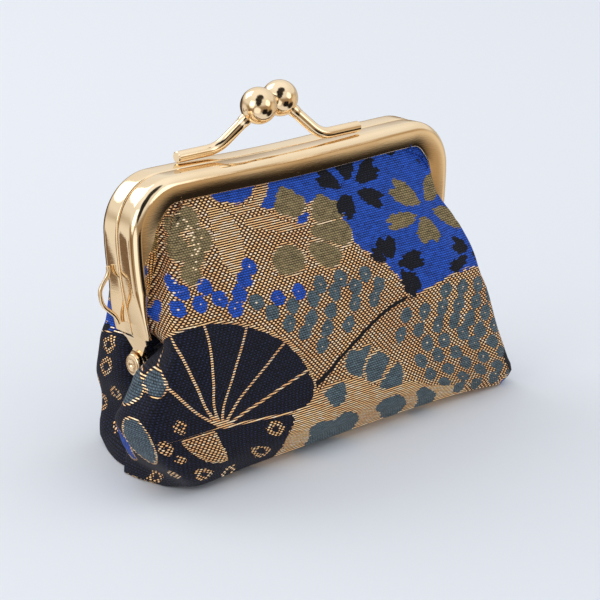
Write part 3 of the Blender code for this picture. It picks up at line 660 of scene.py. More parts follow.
# Soft folds on the front and back: (x, z) of both ends, half width and height, in millimetres
FOLDS = {
    FRONT: [((-33, 40), (-30, 14), 2.6, 0.45), ((-24, 47), (-37, 22), 3.2, -0.35),
            ((30, 47), (40, 24), 3.0, -0.45), ((22, 48), (41, 10), 3.4, 0.35),
            ((-8, 46), (-22, 30), 4.0, 0.22), ((8, 30), (30, 8), 6.0, -0.28), ((-20, 12), (4, 4), 4.0, 0.25),
            ((33, 18), (44, 7), 2.6, 0.4), ((-38, 10), (-26, 3), 2.6, 0.35)],
    BACK: [((-30, 44), (-37, 20), 2.8, 0.45), ((-18, 47), (-34, 14), 4.2, -0.4),
           ((12, 46), (28, 16), 5.0, 0.35), ((32, 44), (38, 18), 3.0, -0.4), ((-6, 28), (-26, 6), 5.0, 0.3),
           ((20, 18), (40, 5), 3.2, 0.35)],
}


def unevenness(point):
    """Wide and small random waves at a point."""
    return noise.noise(Vector(point) * WIDE_RIPPLE) + 0.5 * noise.noise(Vector(point) * SMALL_RIPPLE)


def fold_lift(side, x, z):
    """How far soft folds lift the cloth, in metres, at arrays of x and z in metres."""
    lift = np.zeros_like(x)
    for start, end, width, height in FOLDS[side]:
        start, end = np.array(start, float), np.array(end, float)
        along = end - start
        place = np.stack([x / MM, z / MM], axis=-1) - start
        t = np.clip((place @ along) / (along @ along), 0, 1)
        away = np.linalg.norm(place - t[..., None] * along, axis=-1)
        lift += height * MM * np.exp(-(away / width) ** 2) * np.sin(math.pi * np.clip(t, 0.04, 0.96)) ** 0.6
    return lift


def skin_rows(side, inset, ease, counts, heights):
    """Array (columns, rows, 3) of a skin's wall points, before its folds."""
    lift_off = inset + ease
    levels = [z + lift_off * (1 - float(ramp(z, 0.0, 0.5 * RIVET_HEIGHT))) for z in heights]
    wall = []
    for z in levels:
        row = row_points(z, side, inset, ease, counts)
        share = np.minimum(1.0, abs(row[:, 0]) / (FRAME_HALF_WIDTH - FRAME_CORNER))
        lift = 0.5 * (1 - np.cos(math.pi * share)) * arch_lift(z)
        wall.append(np.column_stack([row[:, 0], side * row[:, 1], z + lift]))
    return np.array(wall).transpose(1, 0, 2)


def add_folds(side, wall, strength):
    """Lift the free part of the wall by the soft folds and a little unevenness."""
    x, depth, z = wall[..., 0], wall[..., 1] * side, wall[..., 2]
    free = ramp(z, 0.5 * MM, 6 * MM) * (1 - ramp(z, LIP_HEIGHT - 7 * MM, LIP_HEIGHT - 1.5 * MM))
    free = free * ramp(depth, RAIL_DEPTH + 1.0 * MM, RAIL_DEPTH + 4.0 * MM)
    ripple = np.array([[unevenness(point) for point in column] for column in wall])
    wall[..., 1] += side * strength * free * (fold_lift(side, x, z) + RIPPLE_HEIGHT * ripple)
    across = x / abs(x[:, :1]).max()
    near_base = 1 - ramp(z, 0, 7 * MM)
    wall[..., 2] += EDGE_LIFT * ramp(depth, 10 * MM, 15 * MM) * (1 - across ** 4).clip(0) * near_base
    return wall


def row_heights(count):
    """Heights of the rows, closer together at the base corner and under the rail."""
    near_lip, at_lip = LIP_HEIGHT - 4 * MM, LIP_HEIGHT - 0.5 * MM
    marks = RIVET_HEIGHT * np.array([0.0, 0.02, 0.05, 0.09, 0.14, 0.22])
    body = np.linspace(0.22 * RIVET_HEIGHT, near_lip, count)[1:]
    top = np.linspace(near_lip, at_lip, 9)[1:]
    tuck = np.linspace(at_lip, CLOTH_TOP, 5)[1:]
    return list(np.concatenate([marks, body, top, tuck]))


def base_points(edge, counts, height):
    """Array of the base's points between its front edge and the seam under the purse (Coons patch)."""
    flank = counts[0] + counts[1]
    face = counts[2]
    left, right = edge[: flank + 1], edge[::-1][: flank + 1]
    front = edge[flank: flank + face + 1]
    u = np.linspace(0, 1, face + 1)[:, None, None]
    v = np.linspace(0, 1, flank + 1)[None, :, None]
    p, q, f = left[None], right[None], front[:, None]
    seam = left[0] * (1 - u) + right[0] * u
    corners = seam * (1 - v) + (left[-1] * (1 - u) + right[-1] * u) * v
    patch = p * (1 - u) + q * u + seam * (1 - v) + f * v - corners
    flatness = 1 - BASE_HOLLOW * (v * (1 - v) * np.sqrt(4 * u * (1 - u)))[..., 0]
    patch[..., 2] = height + (patch[..., 2] - height) * flatness
    return patch


def build_cloth(name, side, inset, thickness, ease, counts, rows, folds, material):
    """A panel or lining: two skins, each a wall and a base, closed along their edges."""
    heights = row_heights(rows)
    shapes = []
    for depth in (inset, inset + thickness):
        wall = skin_rows(side, depth, ease, counts, heights)
        wall = add_folds(side, wall, folds)
        steps = np.linalg.norm(np.diff(wall, axis=0), axis=2)
        along = np.concatenate([np.zeros((1, wall.shape[1])), np.cumsum(steps, axis=0)])
        middle = wall.shape[0] // 2
        u = along - along[middle]
        rise = np.linalg.norm(np.diff(wall[middle], axis=0), axis=1)
        v = np.concatenate([[0], np.cumsum(rise)])[None, :] + np.zeros_like(u)
        place = np.stack([u, v, np.zeros_like(u)], axis=2) / MM
        shapes.append(grid_shape(wall, place))
        flank = counts[0] + counts[1]
        base = base_points(wall[:, 0], counts, wall[0, 0, 2])
        under = np.stack([u[flank: flank + counts[2] + 1, :1] + np.zeros(base.shape[:2]),
                          -np.linalg.norm(base - base[:, -1:], axis=2), np.zeros(base.shape[:2])], axis=2)
        under[..., :2] /= MM
        shapes.append(grid_shape(base, under))
    shape = join_shapes(shapes, name)
    bmesh.ops.remove_doubles(shape, verts=shape.verts, dist=SKIN_WELD)
    bmesh.ops.bridge_loops(shape, edges=[edge for edge in shape.edges if edge.is_boundary])
    return finish_piece(name, shape, material, sharp=70.0)


# The woven pattern, in millimetres: across the cloth from its middle and up it from its front edge


def petal(u, v, turn, length, width):
    """Outline of a cherry petal with a notched tip, from its foot at (u, v)."""
    along = np.array([math.cos(math.radians(turn)), math.sin(math.radians(turn))]) * length
    across = np.array([-along[1], along[0]]) / length * width
    outline = [(0.0, 0.0), (0.3, 0.36), (0.66, 0.52), (0.96, 0.36), (1.0, 0.2), (0.8, 0.0),
               (1.0, -0.2), (0.96, -0.36), (0.66, -0.52), (0.3, -0.36)]
    return [tuple(np.array([u, v]) + along * s + across * t) for s, t in outline]


def disc(u, v, radius):
    """Outline of a dot, with eight corners."""
    turns = np.linspace(0, math.tau, 8, endpoint=False)
    return [(u + radius * math.cos(turn), v + radius * math.sin(turn)) for turn in turns]


FAN_PIVOT = (-30.2, 12.2)
FAN_RIB_TIPS = [(-14.0, 10.8), (-9.0, 17.6), (-14.3, 24.6), (-23.3, 29.3), (-32.5, 31.3), (-39.3, 29.5),
                (-42.0, 23.0)]
# Fields: blue sky, the black ground round the fan, and gold woven as long lines or, where sparse, showing
# through a motif. Motifs: the fan's handle, rings of untied dots, blossoms and leaves in teal, olive and
# night blue, and the dark curve of a branch.
SHAPES = {
    "blue": [
        [(-6.6, 58), (-8.3, 52.8), (-11.6, 50.4), (-9.6, 49.1), (-7.6, 50.2), (-5, 49), (0, 48.5),
         (3, 49), (7, 46), (6.6, 43.8), (8.3, 41.3), (7.2, 39.6), (9.2, 37.2), (12, 34.8), (15, 31.2),
         (17.4, 28), (18.6, 25.9), (23, 26.2), (27, 27.2), (31, 27.9), (36, 27.7), (41, 27.3), (44, 27.2),
         (54, 34), (52, 60), (20, 62)],
        [(-21.6, 53.6), (-19, 52.6), (-16.2, 51.6), (-13, 52.6), (-11.6, 53.8), (-9.6, 58), (-22, 58)],
        [(-4.8, 45.5), (-2.8, 45.1), (-0.9, 46.5), (-1.6, 47.2), (-3.4, 46.9)],
        [(-44.5, 36), (-41.2, 41.6), (-42.8, 43.4), (-47, 38)],
        [(-43.5, 31.5), (-40, 35.6), (-41.6, 36.4), (-46, 33)],
        [(-58, 3), (-54, 5), (-52.6, 9.5), (-53.6, 12), (-58, 14), (-63, 9)],
        [(49, 2), (44.2, 9), (44.8, 14), (48.6, 20), (54, 26), (64, 28), (72, 20), (70, 0)],
        [(39.6, 1.2), (42.6, 2.4), (44.6, 0.6), (44.6, -2.0), (40.4, -2.4)],
    ],
    "black": [
        [(-56, 25.4), (-50, 26.2), (-46, 27), (-41, 29.9), (-36.6, 31.6), (-32.5, 31.7), (-28, 30.9),
         (-23.4, 29.4), (-18.5, 27), (-14.2, 24.4), (-10.3, 20.6), (-8, 17.6), (-6.9, 14.9), (-8.4, 12.4),
         (-10.4, 11.3), (-14.6, 11), (-14.3, 9.2), (-16, 7.4), (-18.6, 5), (-20.5, 2.5), (-23, -1),
         (-26, -8), (-64, -8), (-68, 10), (-64, 24)],
    ],
    "handle": [
        [(-40, 12.4), (-33.6, 11.9), (-31.7, 12.6), (-32.1, 6), (-33.2, 4.1), (-36, 5.2), (-38.4, 8.6)],
    ],
    "rings": [
        disc(-38.6, 14.6, 1.5), disc(-43, 11.3, 1.5), disc(-41.2, 8.2, 1.1), disc(-19.4, 8.4, 1.9),
        disc(-25.4, 3.4, 2.3), disc(-39.2, 2.8, 2.0), disc(-44.8, 4.0, 1.5), disc(-33.4, 0.6, 1.8),
        disc(-50.4, 1.6, 1.8), disc(-29.4, -2.6, 2.0),
    ],
    "teal": [
        [(-46.6, 22.4), (-45.2, 24.3), (-42.6, 24.5), (-41, 22.6), (-42.2, 20.8), (-44.8, 20.9)],
        [(-56, 17.4), (-55, 22), (-50, 23.8), (-47.2, 23), (-46.4, 20.6), (-49.6, 18.4)],
        [(-49, 6.4), (-52.6, 9.5), (-52.6, 13), (-50.6, 15.8), (-47.4, 16.5), (-45.3, 14.6),
         (-45.2, 10.5), (-46.8, 7.4)],
        [(-5.7, 12.7), (-3, 13.3), (0, 13.8), (-0.3, 11.3), (-2, 9.4), (-4.5, 9), (-5.3, 10.6)],
        [(1.2, 17.5), (2.4, 19.3), (4, 18.2), (8, 19.2), (7, 16.9), (5.4, 15.3), (4.8, 13), (2.5, 14.1),
         (1.2, 15.8)],
        [(5.5, 11.8), (5.7, 14.7), (7.6, 16.6), (10.4, 17.2), (13, 15), (10.7, 13.3), (8.4, 11.4)],
        [(7.2, 9.7), (9.3, 11.3), (11.8, 12.6), (14.8, 14.1), (15.1, 11.6), (13.5, 9.2), (10, 9)],
        [(-15, -1), (-13.2, 5.4), (-10, 7.1), (-6.6, 6), (-2.4, 7.3), (-0.3, 5.6), (-2, 0), (-4, -5),
         (-13, -6)],
        [(3.4, 4.4), (7, 6.8), (11.5, 7.3), (12.4, 4), (10, -1), (5, 0.4)],
        [(14.4, -3), (14.8, 5), (18.6, 6.9), (20.2, 2), (19.2, -4)],
        [(-50, 31), (-47, 34), (-47.4, 39), (-51, 40), (-54, 35)],
        [(56, 2), (58, 9), (63, 11), (66, 5), (62, 0)],
    ],
    "olive": [
        petal(27.7, 42.7, 140, 8.6, 4.8), petal(26.2, 41.2, 183, 9.2, 3.5), petal(26.9, 41.0, 266, 6.2, 6.0),
        petal(30.2, 41.2, 331, 8.8, 4.4), petal(29.2, 43.0, 40, 7.0, 5.0),
        [(-8.7, 48.6), (-7.9, 50.6), (-5.8, 53), (-3.6, 52.8), (-2, 50.8), (-0.5, 49.4), (-1.8, 47.6),
         (-4.4, 46.7), (-7, 47.5)],
        [(-0.7, 45.3), (0.1, 48.7), (2.8, 49.9), (5, 48.7), (7.6, 47), (7.6, 44.7), (3.4, 44.4)],
        [(-2.2, 43.4), (-0.5, 44.6), (3.6, 44.1), (7, 44), (8.5, 41.6), (7, 39.4), (4.6, 39), (1.6, 41),
         (-1.2, 42)],
        [(-4, 39.6), (-3.1, 41.4), (-0.2, 41.2), (1.6, 40.1), (4, 38.4), (2, 36.2), (-0.4, 35.5),
         (-2.7, 36.9)],
        [(-13.4, 38.6), (-12.1, 41.1), (-9.4, 42.4), (-6.5, 41.5), (-5, 39.2), (-6.3, 37), (-10, 36.2),
         (-12.2, 36.9)],
        disc(-28.2, 51.2, 2.5), disc(-26.7, 46.8, 2.6), disc(-29.2, 43.9, 2.3), disc(-31, 41.2, 2.4),
        disc(-32.4, 46.4, 2.6), disc(-31.8, 50.4, 2.0),
        petal(58, 18, 20, 7.0, 4.4), petal(57, 19.5, 95, 6.4, 4.4), petal(55.6, 18, 170, 6.2, 4.0),
        petal(56.6, 16.4, 265, 6.4, 4.2),
    ],
    "night": [
        petal(9.2, 50.4, 148, 6.4, 4.0), petal(11.2, 50.8, 85, 5.4, 4.6), petal(12.8, 50.4, 22, 7.2, 4.4),
        petal(11.8, 49.0, -30, 7.4, 3.8), petal(10.2, 48.8, 235, 5.4, 4.6),
        petal(15.2, 33.8, 92, 5.2, 5.2), petal(16.0, 32.6, 0, 7.4, 3.8), petal(16.2, 31.2, -48, 7.0, 4.2),
        petal(14.2, 33.6, 143, 4.8, 2.8), petal(36.4, 31.4, 150, 4.8, 3.6), petal(37.2, 30.6, -25, 4.2, 3.6),
        petal(36.0, 30.2, 194, 6.6, 2.6), petal(37.6, 31.8, 40, 4.6, 3.6),
        [(-3, 54.6), (1.5, 54.8), (1.8, 58), (-3, 58)],
        [(21.4, 54.6), (24.4, 53.6), (27, 55), (26.6, 58), (21, 58)],
        petal(46, 40, 10, 6, 4.2), petal(45, 41.4, 100, 5, 4.2),
        [(41.6, 5.6), (43, 8.4), (46, 9.8), (50, 6), (49.4, 1.4), (44, 0.6), (41.6, 2.6)],
    ],
    "lines": [
        [(-23.4, 52.8), (-18.8, 50.8), (-17.7, 46), (-18.4, 41.6), (-20.4, 38.4), (-22.6, 38.2),
         (-23.8, 44)],
        [(-20, 51.6), (-13, 51), (-9.4, 56), (-7.8, 53.6), (-12.2, 50), (-17, 49.8)],
        [(-16.4, 48.6), (-9, 48.7), (-8.6, 47), (-4, 45.4), (-1.8, 44.2), (-8, 44.6), (-16, 47)],
        [(-14.8, 10.9), (-8.4, 12.3), (-4, 14.2), (0.4, 14), (5, 12.6), (6.6, 10), (16, 9.2), (20, 6),
         (30, 1), (30, -9), (-26, -9), (-18.8, 5), (-14.6, 8.6)],
    ],
    "sparse": [
        [(-33.6, 53), (-30.4, 49.6), (-29.6, 45), (-31, 40), (-28.6, 39.4), (-27.4, 44.6), (-25.4, 48.4),
         (-30, 53.6)],
        [(-40.4, 44), (-36.4, 50), (-33.8, 47), (-33.4, 40), (-37, 36), (-43, 36)],
    ],
    "curve": [
        [(-7.2, 14.7), (-3.2, 16.6), (0, 18.8), (5, 21.9), (10, 24.3), (14, 25.5), (18, 26.2), (18, 25.6),
         (14, 24.8), (10, 23.6), (5, 21.1), (0, 18), (-3, 15.8), (-7, 13.9)],
    ],
}
BLUE_DOTS = [(-34.5, 38.3), (-36.6, 35.4), (-36, 40.2), (-31.8, 35.4), (-29.3, 38.2), (-27.3, 35.5),
             (-24.8, 33), (-22.8, 35.5), (-20.5, 37.9), (-18.3, 40), (-14.9, 32.9), (-9.7, 32.9)]
TEAL_DOTS = [(-19.9, 33.2), (-17, 30.6), (-12, 30.8), (-13.3, 27.8), (-9.5, 25.2), (-5, 21.7),
             (-7.9, 27.5), (-6.8, 31), (-4.3, 33.2), (-2.9, 27.8), (-3.9, 24.7), (-1.3, 31), (1, 33.2),
             (1.7, 24.3), (3.3, 27.8), (4, 31), (7.2, 32.7), (8.6, 27.5), (10.2, 29.9), (28.5, 24.8),
             (33.2, 24.4), (38, 24), (17.5, 22.3), (22.6, 22), (27.6, 21.6), (32.2, 21.2), (37.2, 20.8),
             (42, 21.4), (16, 18.9), (21.2, 18.6), (26.6, 18.4), (31.2, 18.1), (35.6, 17.8), (40.2, 18),
             (44.6, 17.6), (23.4, 15.4), (28, 15), (33.4, 15.2), (38, 14.8), (42.6, 14.6), (20.4, 12.4),
             (25.4, 12.2), (30.2, 11.7), (35.6, 12.3), (40.4, 11.6), (21.6, 8.8), (26.6, 8.7),
             (31.6, 8.6), (36.8, 8.6), (42, 8.4), (24, 5.4), (29.2, 5.2), (34.4, 5.4), (39.4, 5.2),
             (44.6, 5.2), (26.6, 2), (31.8, 1.8), (37, 2), (42, 1.8), (48.6, 28), (46, 31), (51, 32.4)]
DOT_RADIUS = 1.62
FAR_FROM_SHAPE = 2.0
FAR_FROM_DOT = -3.0
# What the back panel shows beside its left seam, over the turned pattern
BACK_BLACK = [(-66, -8), (-68, 23.6), (-36.4, 23.6), (-33.4, 17), (-34.6, 8), (-31, -8)]
BACK_BLUE = [(-60, 23.2), (-60, 31), (-35.4, 30.4), (-34.6, 23.6)]
BACK_RINGS = [disc(-41.6, 20.6, 1.9), disc(-42.4, 15.8, 2.1), disc(-38.2, 11.4, 1.8), disc(-45.4, 10.4, 1.9),
              disc(-40.6, 6.2, 1.9), disc(-48, 4.4, 1.8)]
BACK_TURN = (-3.0, 55.0)


def rounded(polygon):
    """A polygon with its corners cut twice."""
    corners = np.array(polygon, float)
    for _ in range(2):
        after = np.roll(corners, -1, axis=0)
        corners = np.stack([corners * 0.8 + after * 0.2, corners * 0.2 + after * 0.8], axis=1).reshape(-1, 2)
    return corners


def shape_distance(place, polygons):
    """Distance in millimetres to the nearest outline, negative inside a shape and capped far from all."""
    nearest = np.full(len(place), FAR_FROM_SHAPE)
    for polygon in polygons:
        corners = rounded(polygon)
        low, high = corners.min(axis=0) - FAR_FROM_SHAPE, corners.max(axis=0) + FAR_FROM_SHAPE
        close = np.all((place > low) & (place < high), axis=1)
        points = place[close]
        gap = np.full(len(points), np.inf)
        inside = np.zeros(len(points), bool)
        for start, end in zip(corners, np.roll(corners, -1, axis=0)):
            along = end - start
            t = np.clip((points - start) @ along / (along @ along), 0, 1)
            gap = np.minimum(gap, np.linalg.norm(points - start - t[:, None] * along, axis=1))
            if along[1]:
                passes = (start[1] > points[:, 1]) != (end[1] > points[:, 1])
                crossing = start[0] + (points[:, 1] - start[1]) * along[0] / along[1]
                inside ^= passes & (points[:, 0] < crossing)
        nearest[close] = np.minimum(nearest[close], np.where(inside, -gap, gap))
    return nearest


def rib_distance(place):
    """Distance to the nearest rib of the fan, whose sign changes at every rib."""
    pivot = np.array(FAN_PIVOT)
    offset = place - pivot
    turn = np.arctan2(offset[:, 1], offset[:, 0])
    tips = np.array(FAN_RIB_TIPS) - pivot
    ribs = np.arctan2(tips[:, 1], tips[:, 0])
    nearest = np.argmin(abs(turn[:, None] - ribs[None]), axis=1)
    reach = np.linalg.norm(offset, axis=1)
    return (-1.0) ** nearest * reach * np.sin(np.clip(turn - ribs[nearest], -1.5, 1.5))


def weave_pattern(mesh, place, side):
    """Store the pattern's distances on the vertices of a brocade panel."""
    own = place
    if side == BACK:
        place = np.array(BACK_TURN) - place
    layers = {name: shape_distance(place, polygons) for name, polygons in SHAPES.items()}
    dots = np.array(BLUE_DOTS + TEAL_DOTS)
    offsets = place[:, None] - dots[None]
    reach = (offsets ** 2).sum(axis=2)
    nearest = reach.argmin(axis=1)
    speck = offsets[np.arange(len(place)), nearest]
    lift = DOT_RADIUS ** 2 - reach
    blue_dots = lift[:, : len(BLUE_DOTS)].max(axis=1).clip(FAR_FROM_DOT)
    teal_dots = lift[:, len(BLUE_DOTS):].max(axis=1).clip(FAR_FROM_DOT)
    layers["black"] = np.maximum(layers["black"], -layers["handle"])
    if side == BACK:
        dark = shape_distance(own, [BACK_BLACK])
        sky = shape_distance(own, [BACK_BLUE])
        for name in ("blue", "teal", "olive", "night", "lines", "curve", "rings", "sparse"):
            layers[name] = np.maximum(layers[name], -np.minimum(dark, sky))
        layers["black"] = np.minimum(layers["black"], dark)
        layers["blue"] = np.minimum(layers["blue"], np.maximum(sky, -dark))
        layers["rings"] = np.minimum(layers["rings"], shape_distance(own, BACK_RINGS))
        blue_dots = np.minimum(blue_dots, dark)
        teal_dots = np.minimum(teal_dots, dark)
    stored = {
        "fields": (layers["blue"], layers["black"], layers["lines"]),
        "motifs": (layers["olive"], layers["night"], layers["teal"]),
        "threads": (rib_distance(place), layers["rings"], layers["curve"]),
        "dots": (blue_dots, teal_dots, layers["sparse"]),
        "specks": (speck[:, 0], speck[:, 1], np.zeros(len(place))),
    }
    for name, columns in stored.items():
        data = mesh.attributes.new(name, "FLOAT_VECTOR", "POINT").data
        data.foreach_set("vector", np.stack(columns, axis=1).astype(np.float32).ravel())


# Paper cords

PAPER_RADIUS = 0.87 * MM
PAPER_TWIST = 1.1 * MM
PAPER_STEPS = 420
PAPER_LEAST_FACE = 2 * MM


def build_paper_cord(name, side, material):
    """Three-strand paper cord that wedges the cloth against the channel's visible wall."""
    seat = SHEET + CLEARANCE + PAPER_RADIUS
    y = side * (HALF_GAP + seat)
    path = [tuple(point + inward * seat + Vector((0, y, 0))) for point, inward in frame_outline(40, 30, 40)
            if face_height(point) > PAPER_LEAST_FACE]
    path = np.array(path)
    reach = np.concatenate([[0], np.cumsum(np.linalg.norm(np.diff(path, axis=0), axis=1))])
    even = np.linspace(0, reach[-1], PAPER_STEPS)
    path = np.column_stack([np.interp(even, reach, path[:, k]) for k in range(3)])
    turns = np.linspace(0, math.tau, 24, endpoint=False)

    def strands(index, share):
        lobes = PAPER_RADIUS * (0.8 + 0.2 * np.abs(np.cos(1.5 * (turns - even[index] / PAPER_TWIST))))
        return np.column_stack([np.cos(turns) * lobes, np.sin(turns) * lobes])

    return finish_piece(name, sweep(path, strands), material)


# Shader maths


class Wire:
    """A shader socket whose operators add Math nodes."""

    def __init__(self, tree, socket):
        self.tree = tree
        self.socket = socket

    def maths(self, operation, *values):
        """A Math node on sockets and numbers."""
        settings = {"operation": operation}
        return self.tree.add("ShaderNodeMath", settings, dict(enumerate(values)))

    def __add__(self, other):
        return self.maths("ADD", self, other)

    def __radd__(self, other):
        return self.maths("ADD", other, self)

    def __sub__(self, other):
        return self.maths("SUBTRACT", self, other)

    def __rsub__(self, other):
        return self.maths("SUBTRACT", other, self)

    def __mul__(self, other):
        return self.maths("MULTIPLY", self, other)

    def __rmul__(self, other):
        return self.maths("MULTIPLY", other, self)

    def __truediv__(self, other):
        return self.maths("DIVIDE", self, other)

    def __pow__(self, other):
        return self.maths("POWER", self, other)

    def lower(self, other):
        return self.maths("MINIMUM", self, other)

    def higher(self, other):
        return self.maths("MAXIMUM", self, other)

    def sine(self):
        return self.maths("SINE", self)

    def floor(self):
        return self.maths("FLOOR", self)

    def fraction(self):
        return self.maths("FRACT", self)

    def size(self):
        return self.maths("ABSOLUTE", self)

    def step(self, low, high):
        """0 below low and 1 above high, with a smooth change between them."""
        settings = {"interpolation_type": "SMOOTHSTEP"}
        if low < high:
            return self.tree.add("ShaderNodeMapRange", settings, {0: self, 1: low, 2: high, 3: 0.0, 4: 1.0})
        return self.tree.add("ShaderNodeMapRange", settings, {0: self, 1: high, 2: low, 3: 1.0, 4: 0.0})


class Tree:
    """The node tree of a material or world."""

    def __init__(self, owner):
        owner.use_nodes = True
        self.nodes = owner.node_tree.nodes
        self.links = owner.node_tree.links

    def add(self, kind, settings, sockets, output=0):
        """Add a node with settings, socket values and links; return one output, or all of them for None."""
        node = self.nodes.new(kind)
        for name, value in settings.items():
            setattr(node, name, value)
        self.fill(node, sockets)
        if output is None:
            return [Wire(self, each) for each in node.outputs]
        return Wire(self, node.outputs[output])

    def fill(self, node, sockets):
        """Give a node's sockets their values and links."""
        for name, value in sockets.items():
            if isinstance(value, Wire):
                self.links.new(value.socket, node.inputs[name])
            else:
                node.inputs[name].default_value = value

    def colours(self, factor, a, b):
        """Mix of two colours."""
        return self.add("ShaderNodeMix", {"data_type": "RGBA"}, {0: factor, 6: a, 7: b}, output=2)

    def dimmed(self, colour, share):
        """A colour times a number."""
        return self.add("ShaderNodeVectorMath", {"operation": "SCALE"}, {0: colour, "Scale": share})

    def split(self, vector):
        """The three numbers of a vector."""
        return self.add("ShaderNodeSeparateXYZ", {}, {0: vector}, output=None)

    def joined(self, x, y):
        """A vector from two numbers."""
        return self.add("ShaderNodeCombineXYZ", {}, {0: x, 1: y})

    def noise(self, place, scale, detail):
        return self.add("ShaderNodeTexNoise", {}, {"Vector": place, "Scale": scale, "Detail": detail})

    def bump(self, height, distance, strength):
        return self.add("ShaderNodeBump", {}, {"Height": height, "Distance": distance, "Strength": strength})


def new_material(name, **constants):
    """Material and its tree; constants go straight to the Principled shader's sockets."""
    material = bpy.data.materials.new(name)
    tree = Tree(material)
    shader = tree.nodes["Principled BSDF"]
    for key, value in constants.items():
        shader.inputs[key.replace("_", " ")].default_value = value
    return material, tree, shader


def paint(rgb):
    """A colour with the fourth number that sockets want."""
    return (*rgb, 1.0)


def gold_material(name, colour, roughness, waviness):
    """Polished plating: small changes of tone, faint wiping marks and a slightly wavy surface."""
    material, tree, shader = new_material(name, Metallic=1.0)
    place = tree.add("ShaderNodeTexCoord", {}, {}, output="Object")
    wide = tree.noise(place, 90.0, 2.0)
    fine = tree.noise(place, 1400.0, 3.0)
    stretched = tree.add("ShaderNodeMapping", {}, {"Vector": place, "Scale": (1.0, 1.0, 7.0)})
    wiped = tree.noise(stretched, 600.0, 2.0)
    deeper = tuple(c * k for c, k in zip(colour, (0.93, 0.87, 0.78)))
    tone = tree.colours((wide - 0.35) * 1.6, paint(colour), paint(deeper))
    rough = roughness + 0.10 * (wide - 0.5) + 0.07 * wiped.step(0.5, 0.8) + 0.05 * fine.step(0.62, 0.75)
    slow = tree.noise(place, 55.0, 0.0)
    normal = tree.bump(slow * waviness + 0.05 * (wide + 0.2 * wiped), 0.001, 0.5)
    tree.fill(shader, {"Base Color": tone, "Roughness": rough.higher(0.05), "Normal": normal})
    return material


# The weave, in millimetres
MAP_SIZE = 100.0
WEFT_PITCH = 0.45
PICK_PITCH = 0.62
FLOAT_PITCH = 1.0
LONG_FLOAT_PITCH = 2.7
TWILL_PITCH = 0.9
LINING_PITCH = 0.32
RAGGED_FLOATS = 0.44
RAGGED_ROWS = 0.30
OUTLINE_WIDTH = 0.5
RIB_HALF_WIDTH = 0.3
SOFT_EDGE = 0.05
RING_WIDTH = 0.95
FAN_EDGE_WIDTH = 0.5
# Brightness of silk and gold thread: in its shadow, and added where it lies highest
SILK_SHADOW, SILK_LIGHT = 0.26, 0.98
GOLD_SHADOW, GOLD_LIGHT = 0.6, 1.45


def cloth_coordinates(tree):
    """The cloth's own (u, v) in millimetres."""
    u, v, _ = tree.split(tree.add("ShaderNodeUVMap", {"uv_map": "cloth"}, {}))
    return u * MAP_SIZE, v * MAP_SIZE


def cloth_layers(tree, name):
    """The three numbers of a vector stored on the cloth."""
    return tree.split(tree.add("ShaderNodeAttribute", {"attribute_name": name}, {}, output="Vector"))


